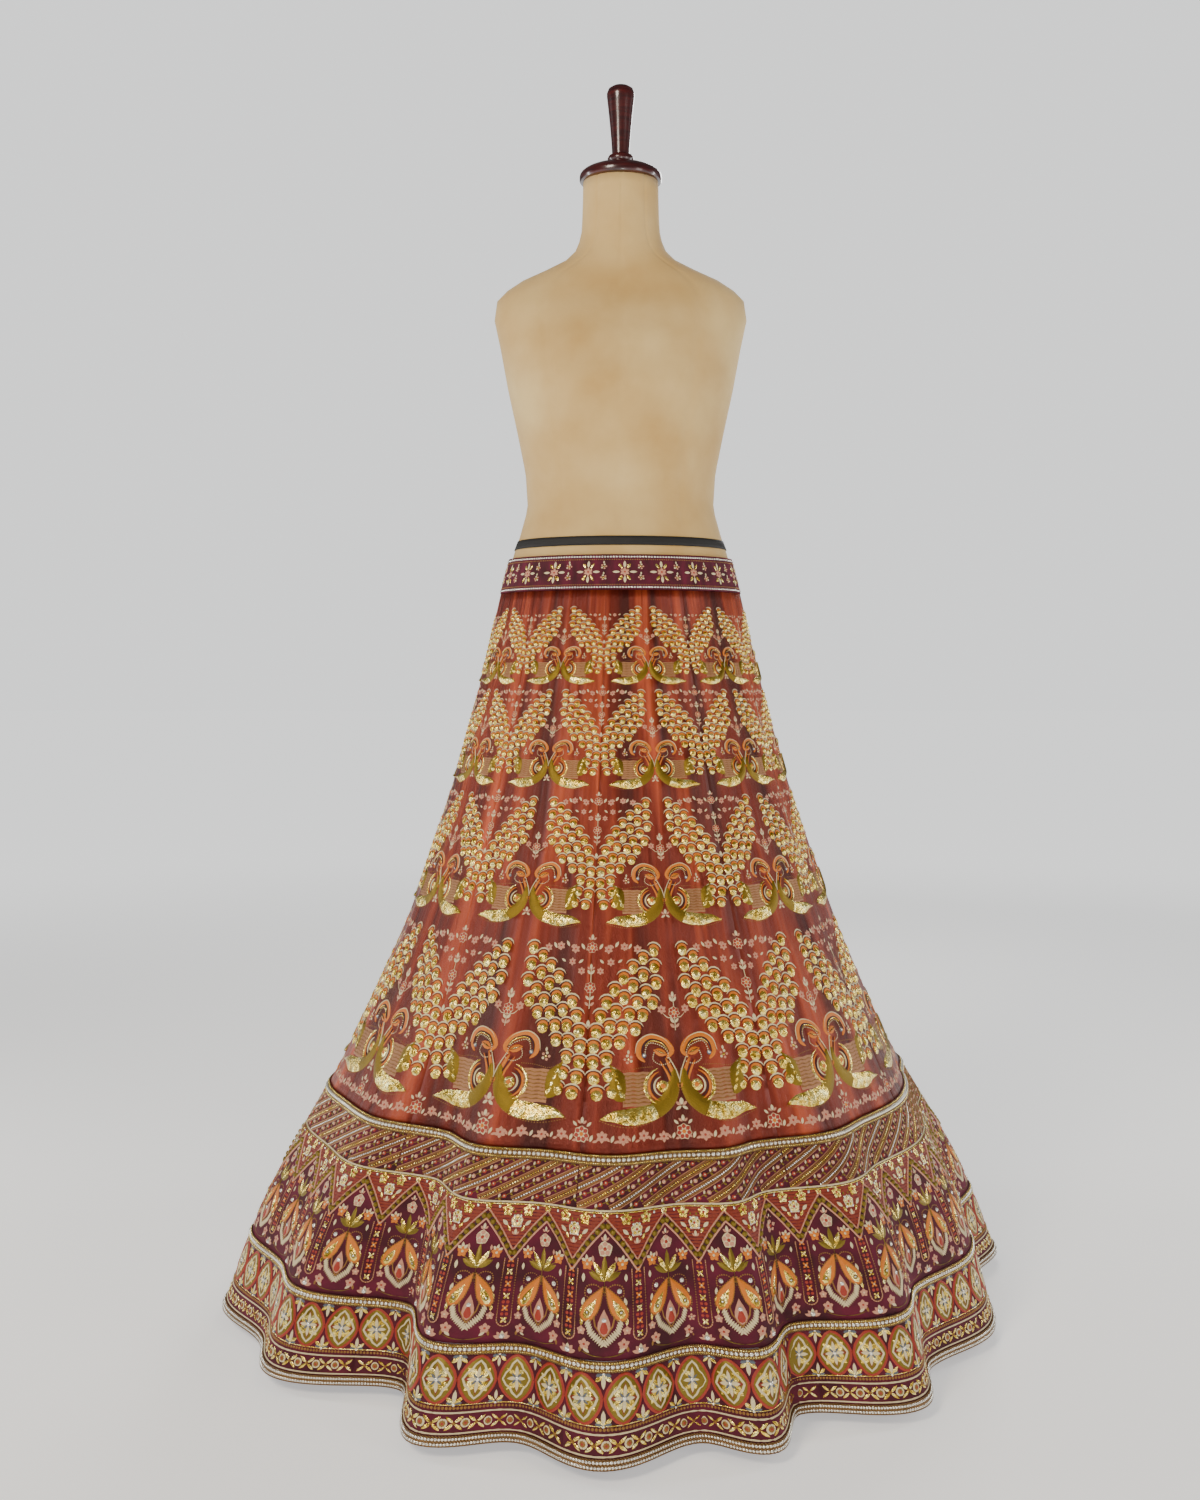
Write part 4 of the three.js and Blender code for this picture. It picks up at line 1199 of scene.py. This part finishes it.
sheets = {}
for kali in range(KALIS):
    number = f"{kali + 1:02d}"
    area, width, length = cloth_area(kali + np.linspace(0, 1, 31), kali_heights)
    sheets["kali", kali] = (width, length, area)
    for band, work in (("stripe_band", stripe_work), ("arch_panel", arch_work), ("hem_band", hem_work)):
        piece = bands[band, kali]
        stitched = sew(f"{band}_embroidery_{number}", work, kali, VELVET - 0.15)
        foot, head = BAND_EDGES[band]
        area, width, length = cloth_area(kali + np.linspace(0, 1, 31), np.linspace(foot, head, max(4, int((head - foot) / 9))))
        sheets[band, kali] = (width, length, area)

# ---------------------------------------------------------------- dress form
# A limbless form of papier mache in a sewn jersey cover, with a seam down the middle of the front and
# back, at the sides and over each half. A narrow black tape marks its waist.

FORM = np.array([
    # height above the floor, side, front, back, forward
    (800, 166, 108, 116, 0),
    (850, 174, 114, 126, 0),
    (910, 178, 118, 131, 0),
    (970, 176, 120, 130, 0),
    (1030, 169, 118, 125, 0),
    (1085, 159, 113, 118, 0),
    (1099, 154.5, 111, 114, 0),
    (1112, 149.5, 109, 110, 0),
    (1160, 136, 102, 96, 0),
    (1210, 139, 106, 95, 0),
    (1270, 151, 118, 101, 0),
    (1330, 164, 124, 107, 0),
    (1390, 175, 112, 110, 0),
    (1432, 184, 94, 104, 0),
    (1460, 180, 79, 95, 0),
    (1482, 158, 70, 85, 0),
    (1500, 116, 63, 75, 1),
    (1515, 83, 60, 68, 2),
    (1533, 63, 57, 61, 4),
    (1560, 56.5, 55.5, 57, 6),
    (1600, 55, 55, 55, 8),
    (1628, 54.5, 54.5, 54.5, 9),
], float)
COVER_SEAMS = (0, 38, 90, 142, 180, 218, 270, 322)


def form_point(angle, height, lift):
    """Points on the form, in metres."""
    turn = np.radians(angle)
    side, front, back, forward = (np.interp(height, FORM[:, 0], FORM[:, c]) for c in (1, 2, 3, 4))
    groove = sum(np.exp(-((angle - seam + 180) % 360 - 180) ** 2 / 3.0) for seam in COVER_SEAMS)
    depth = np.where(np.cos(turn) >= 0, front, back)
    out = lift - 1.1 * groove
    return np.stack([
        AXIS_X + (side + out) * np.sin(turn) * MM,
        AXIS_Y - ((depth + out) * np.cos(turn) + forward) * MM,
        height * MM,
    ], axis=-1)


cover, shader = new_material("cream_jersey_cover")
coordinates = add(cover, "ShaderNodeTexCoord")
knit = add(cover, "ShaderNodeTexNoise", Vector=(coordinates, "Object"), Scale=1400.0, Detail=2.0)
age = add(cover, "ShaderNodeTexNoise", Vector=(coordinates, "Object"), Scale=9.0, Detail=5.0)
colour = add(cover, "ShaderNodeValToRGB", Fac=(age, "Fac"))
colour.color_ramp.elements[0].position = 0.3
colour.color_ramp.elements[0].color = linear("#c39c58")
colour.color_ramp.elements[1].position = 0.7
colour.color_ramp.elements[1].color = linear("#dcbd7e")
cover.node_tree.links.new(colour.outputs["Color"], shader.inputs["Base Color"])
bump = add(cover, "ShaderNodeBump", Strength=0.35, Distance=0.0006, Height=(knit, "Fac"))
cover.node_tree.links.new(bump.outputs["Normal"], shader.inputs["Normal"])
fix(shader, Roughness=0.8, Sheen_Weight=0.2)


torso_angles = np.arange(0, 360, 2.0)
smooth_heights = np.linspace(800, 1628, 60)
grid_angles, grid_heights = np.meshgrid(torso_angles, smooth_heights)
torso_points = form_point(grid_angles, grid_heights, np.zeros_like(grid_angles))
rows, stations = torso_points.shape[:2]
torso_faces = [(r * stations + s, r * stations + (s + 1) % stations, (r + 1) * stations + (s + 1) % stations,
                (r + 1) * stations + s) for r in range(rows - 1) for s in range(stations)]
torso_faces.append(tuple(reversed(range(stations))))
torso_faces.append(tuple((rows - 1) * stations + s for s in range(stations)))
torso = mesh_object("form_cover_torso", torso_points, torso_faces, [cover])
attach(torso, "root")
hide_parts("form_torso")

black_tape, shader = new_material("black_cotton_tape")
coordinates = add(black_tape, "ShaderNodeTexCoord")
ribs = add(black_tape, "ShaderNodeTexNoise", Vector=(coordinates, "Object"), Scale=1500.0, Detail=2.0)
colour = add(black_tape, "ShaderNodeValToRGB", Fac=(ribs, "Fac"))
colour.color_ramp.elements[0].color = linear("#080808")
colour.color_ramp.elements[1].color = linear("#24211f")
black_tape.node_tree.links.new(colour.outputs["Color"], shader.inputs["Base Color"])
bump = add(black_tape, "ShaderNodeBump", Strength=0.5, Distance=0.0005, Height=(ribs, "Fac"))
black_tape.node_tree.links.new(bump.outputs["Normal"], shader.inputs["Normal"])
fix(shader, Roughness=0.7)

tape_angles = np.arange(0, 360, 3.0)
tape_sides = []
for lift in (0.3, 1.5):
    grid_angles, grid_heights = np.meshgrid(tape_angles, np.linspace(1099, 1112, 4))
    tape_sides.append(form_point(grid_angles, grid_heights, lift + np.zeros_like(grid_angles)))
tape = mesh_object("waist_tape_ring", np.stack(tape_sides), wall_faces(4, len(tape_angles), True), [black_tape])
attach(tape, "root")
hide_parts("waist_tape")

# ---------------------------------------------------------------- neck cap, finial and stand
# The cap and finial are turned in wood and lacquered. Under the form an iron
# pole stands on a round iron base.

lacquer, shader = new_material("lacquered_wood")
coordinates = add(lacquer, "ShaderNodeTexCoord")
rings = add(lacquer, "ShaderNodeMapping", Vector=(coordinates, "Object"), Scale=(12, 12, 90))
wood = add(lacquer, "ShaderNodeTexNoise", Vector=(rings, "Vector"), Scale=3.0, Detail=6.0)
colour = add(lacquer, "ShaderNodeValToRGB", Fac=(wood, "Fac"))
colour.color_ramp.elements[0].position = 0.3
colour.color_ramp.elements[0].color = linear("#240709")
colour.color_ramp.elements[1].position = 0.75
colour.color_ramp.elements[1].color = linear("#4e1513")
lacquer.node_tree.links.new(colour.outputs["Color"], shader.inputs["Base Color"])
bump = add(lacquer, "ShaderNodeBump", Strength=0.1, Distance=0.0005, Height=(wood, "Fac"))
lacquer.node_tree.links.new(bump.outputs["Normal"], shader.inputs["Normal"])
fix(shader, Roughness=0.28, Coat_Weight=0.6, Coat_Roughness=0.12)

iron, shader = new_material("black_painted_iron")
coordinates = add(iron, "ShaderNodeTexCoord")
cast = add(iron, "ShaderNodeTexNoise", Vector=(coordinates, "Object"), Scale=180.0, Detail=4.0)
colour = add(iron, "ShaderNodeValToRGB", Fac=(cast, "Fac"))
colour.color_ramp.elements[0].color = linear("#0e0e0f")
colour.color_ramp.elements[1].color = linear("#242425")
iron.node_tree.links.new(colour.outputs["Color"], shader.inputs["Base Color"])
bump = add(iron, "ShaderNodeBump", Strength=0.25, Distance=0.0006, Height=(cast, "Fac"))
iron.node_tree.links.new(bump.outputs["Normal"], shader.inputs["Normal"])
fix(shader, Roughness=0.5, Metallic=0.2)


def turn_up(name, forward, profile, material, node, sides=64):
    """A turned piece: a disc raised and widened row by row through (radius, height above the floor) in mm."""
    x, y = AXIS_X, AXIS_Y - forward * MM
    radius, height = profile[0]
    bpy.ops.object.select_all(action="DESELECT")
    bpy.ops.mesh.primitive_circle_add(vertices=sides, radius=radius * MM, fill_type="NGON", location=(x, y, height * MM))
    piece = bpy.context.object
    piece.name = name
    bpy.ops.object.transform_apply(location=True, rotation=True, scale=True)
    bpy.ops.object.mode_set(mode="EDIT")
    bpy.ops.mesh.select_all(action="SELECT")
    for next_radius, next_height in profile[1:]:
        bpy.ops.mesh.extrude_region_move(TRANSFORM_OT_translate={"value": (0, 0, (next_height - height) * MM)})
        grow = next_radius / radius
        bpy.ops.transform.resize(value=(grow, grow, 1), center_override=(x, y, next_height * MM))
        radius, height = next_radius, next_height
    bpy.ops.mesh.select_all(action="SELECT")
    bpy.ops.mesh.normals_make_consistent(inside=False)
    bpy.ops.object.mode_set(mode="OBJECT")
    bpy.ops.object.shade_smooth_by_angle(angle=math.radians(35))
    piece.data.materials.append(material)
    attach(piece, "root")
    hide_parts(node)
    return piece


cap_dome = [(59.5 * math.cos(math.radians(t)), 1636.5 + 18.5 * math.sin(math.radians(t))) for t in range(0, 80, 8)]
turn_up("turned_neck_cap", 9, [(56, 1628.4), (58.6, 1629.4), (59.5, 1631.2)] + cap_dome + [(8, 1655.2)],
        lacquer, "neck_cap")
turn_up("turned_finial_bead", 9, [(12, 1655.7), (17, 1657), (19, 1660.5), (19, 1663.5), (17, 1667), (12, 1668.5)],
        lacquer, "finial_bead", 48)
handle_run = [(12.5 + 7.5 * (t / 12) ** 1.3, 1669 + 82 * t / 12) for t in range(13)]
turn_up("turned_finial_handle", 9, handle_run + [(20, 1756), (17.5, 1762), (12, 1765.5), (5, 1766.8)],
        lacquer, "finial_handle", 48)
turn_up("iron_stand_base", 0, [(202, 0), (205, 3), (205, 14), (203, 18), (197, 20), (120, 21.2), (40, 22), (18, 22)],
        iron, "stand_base", 96)
turn_up("iron_stand_pole", 0, [(15, 22.3), (15, 400), (15, 799.7)], iron, "stand_pole", 32)
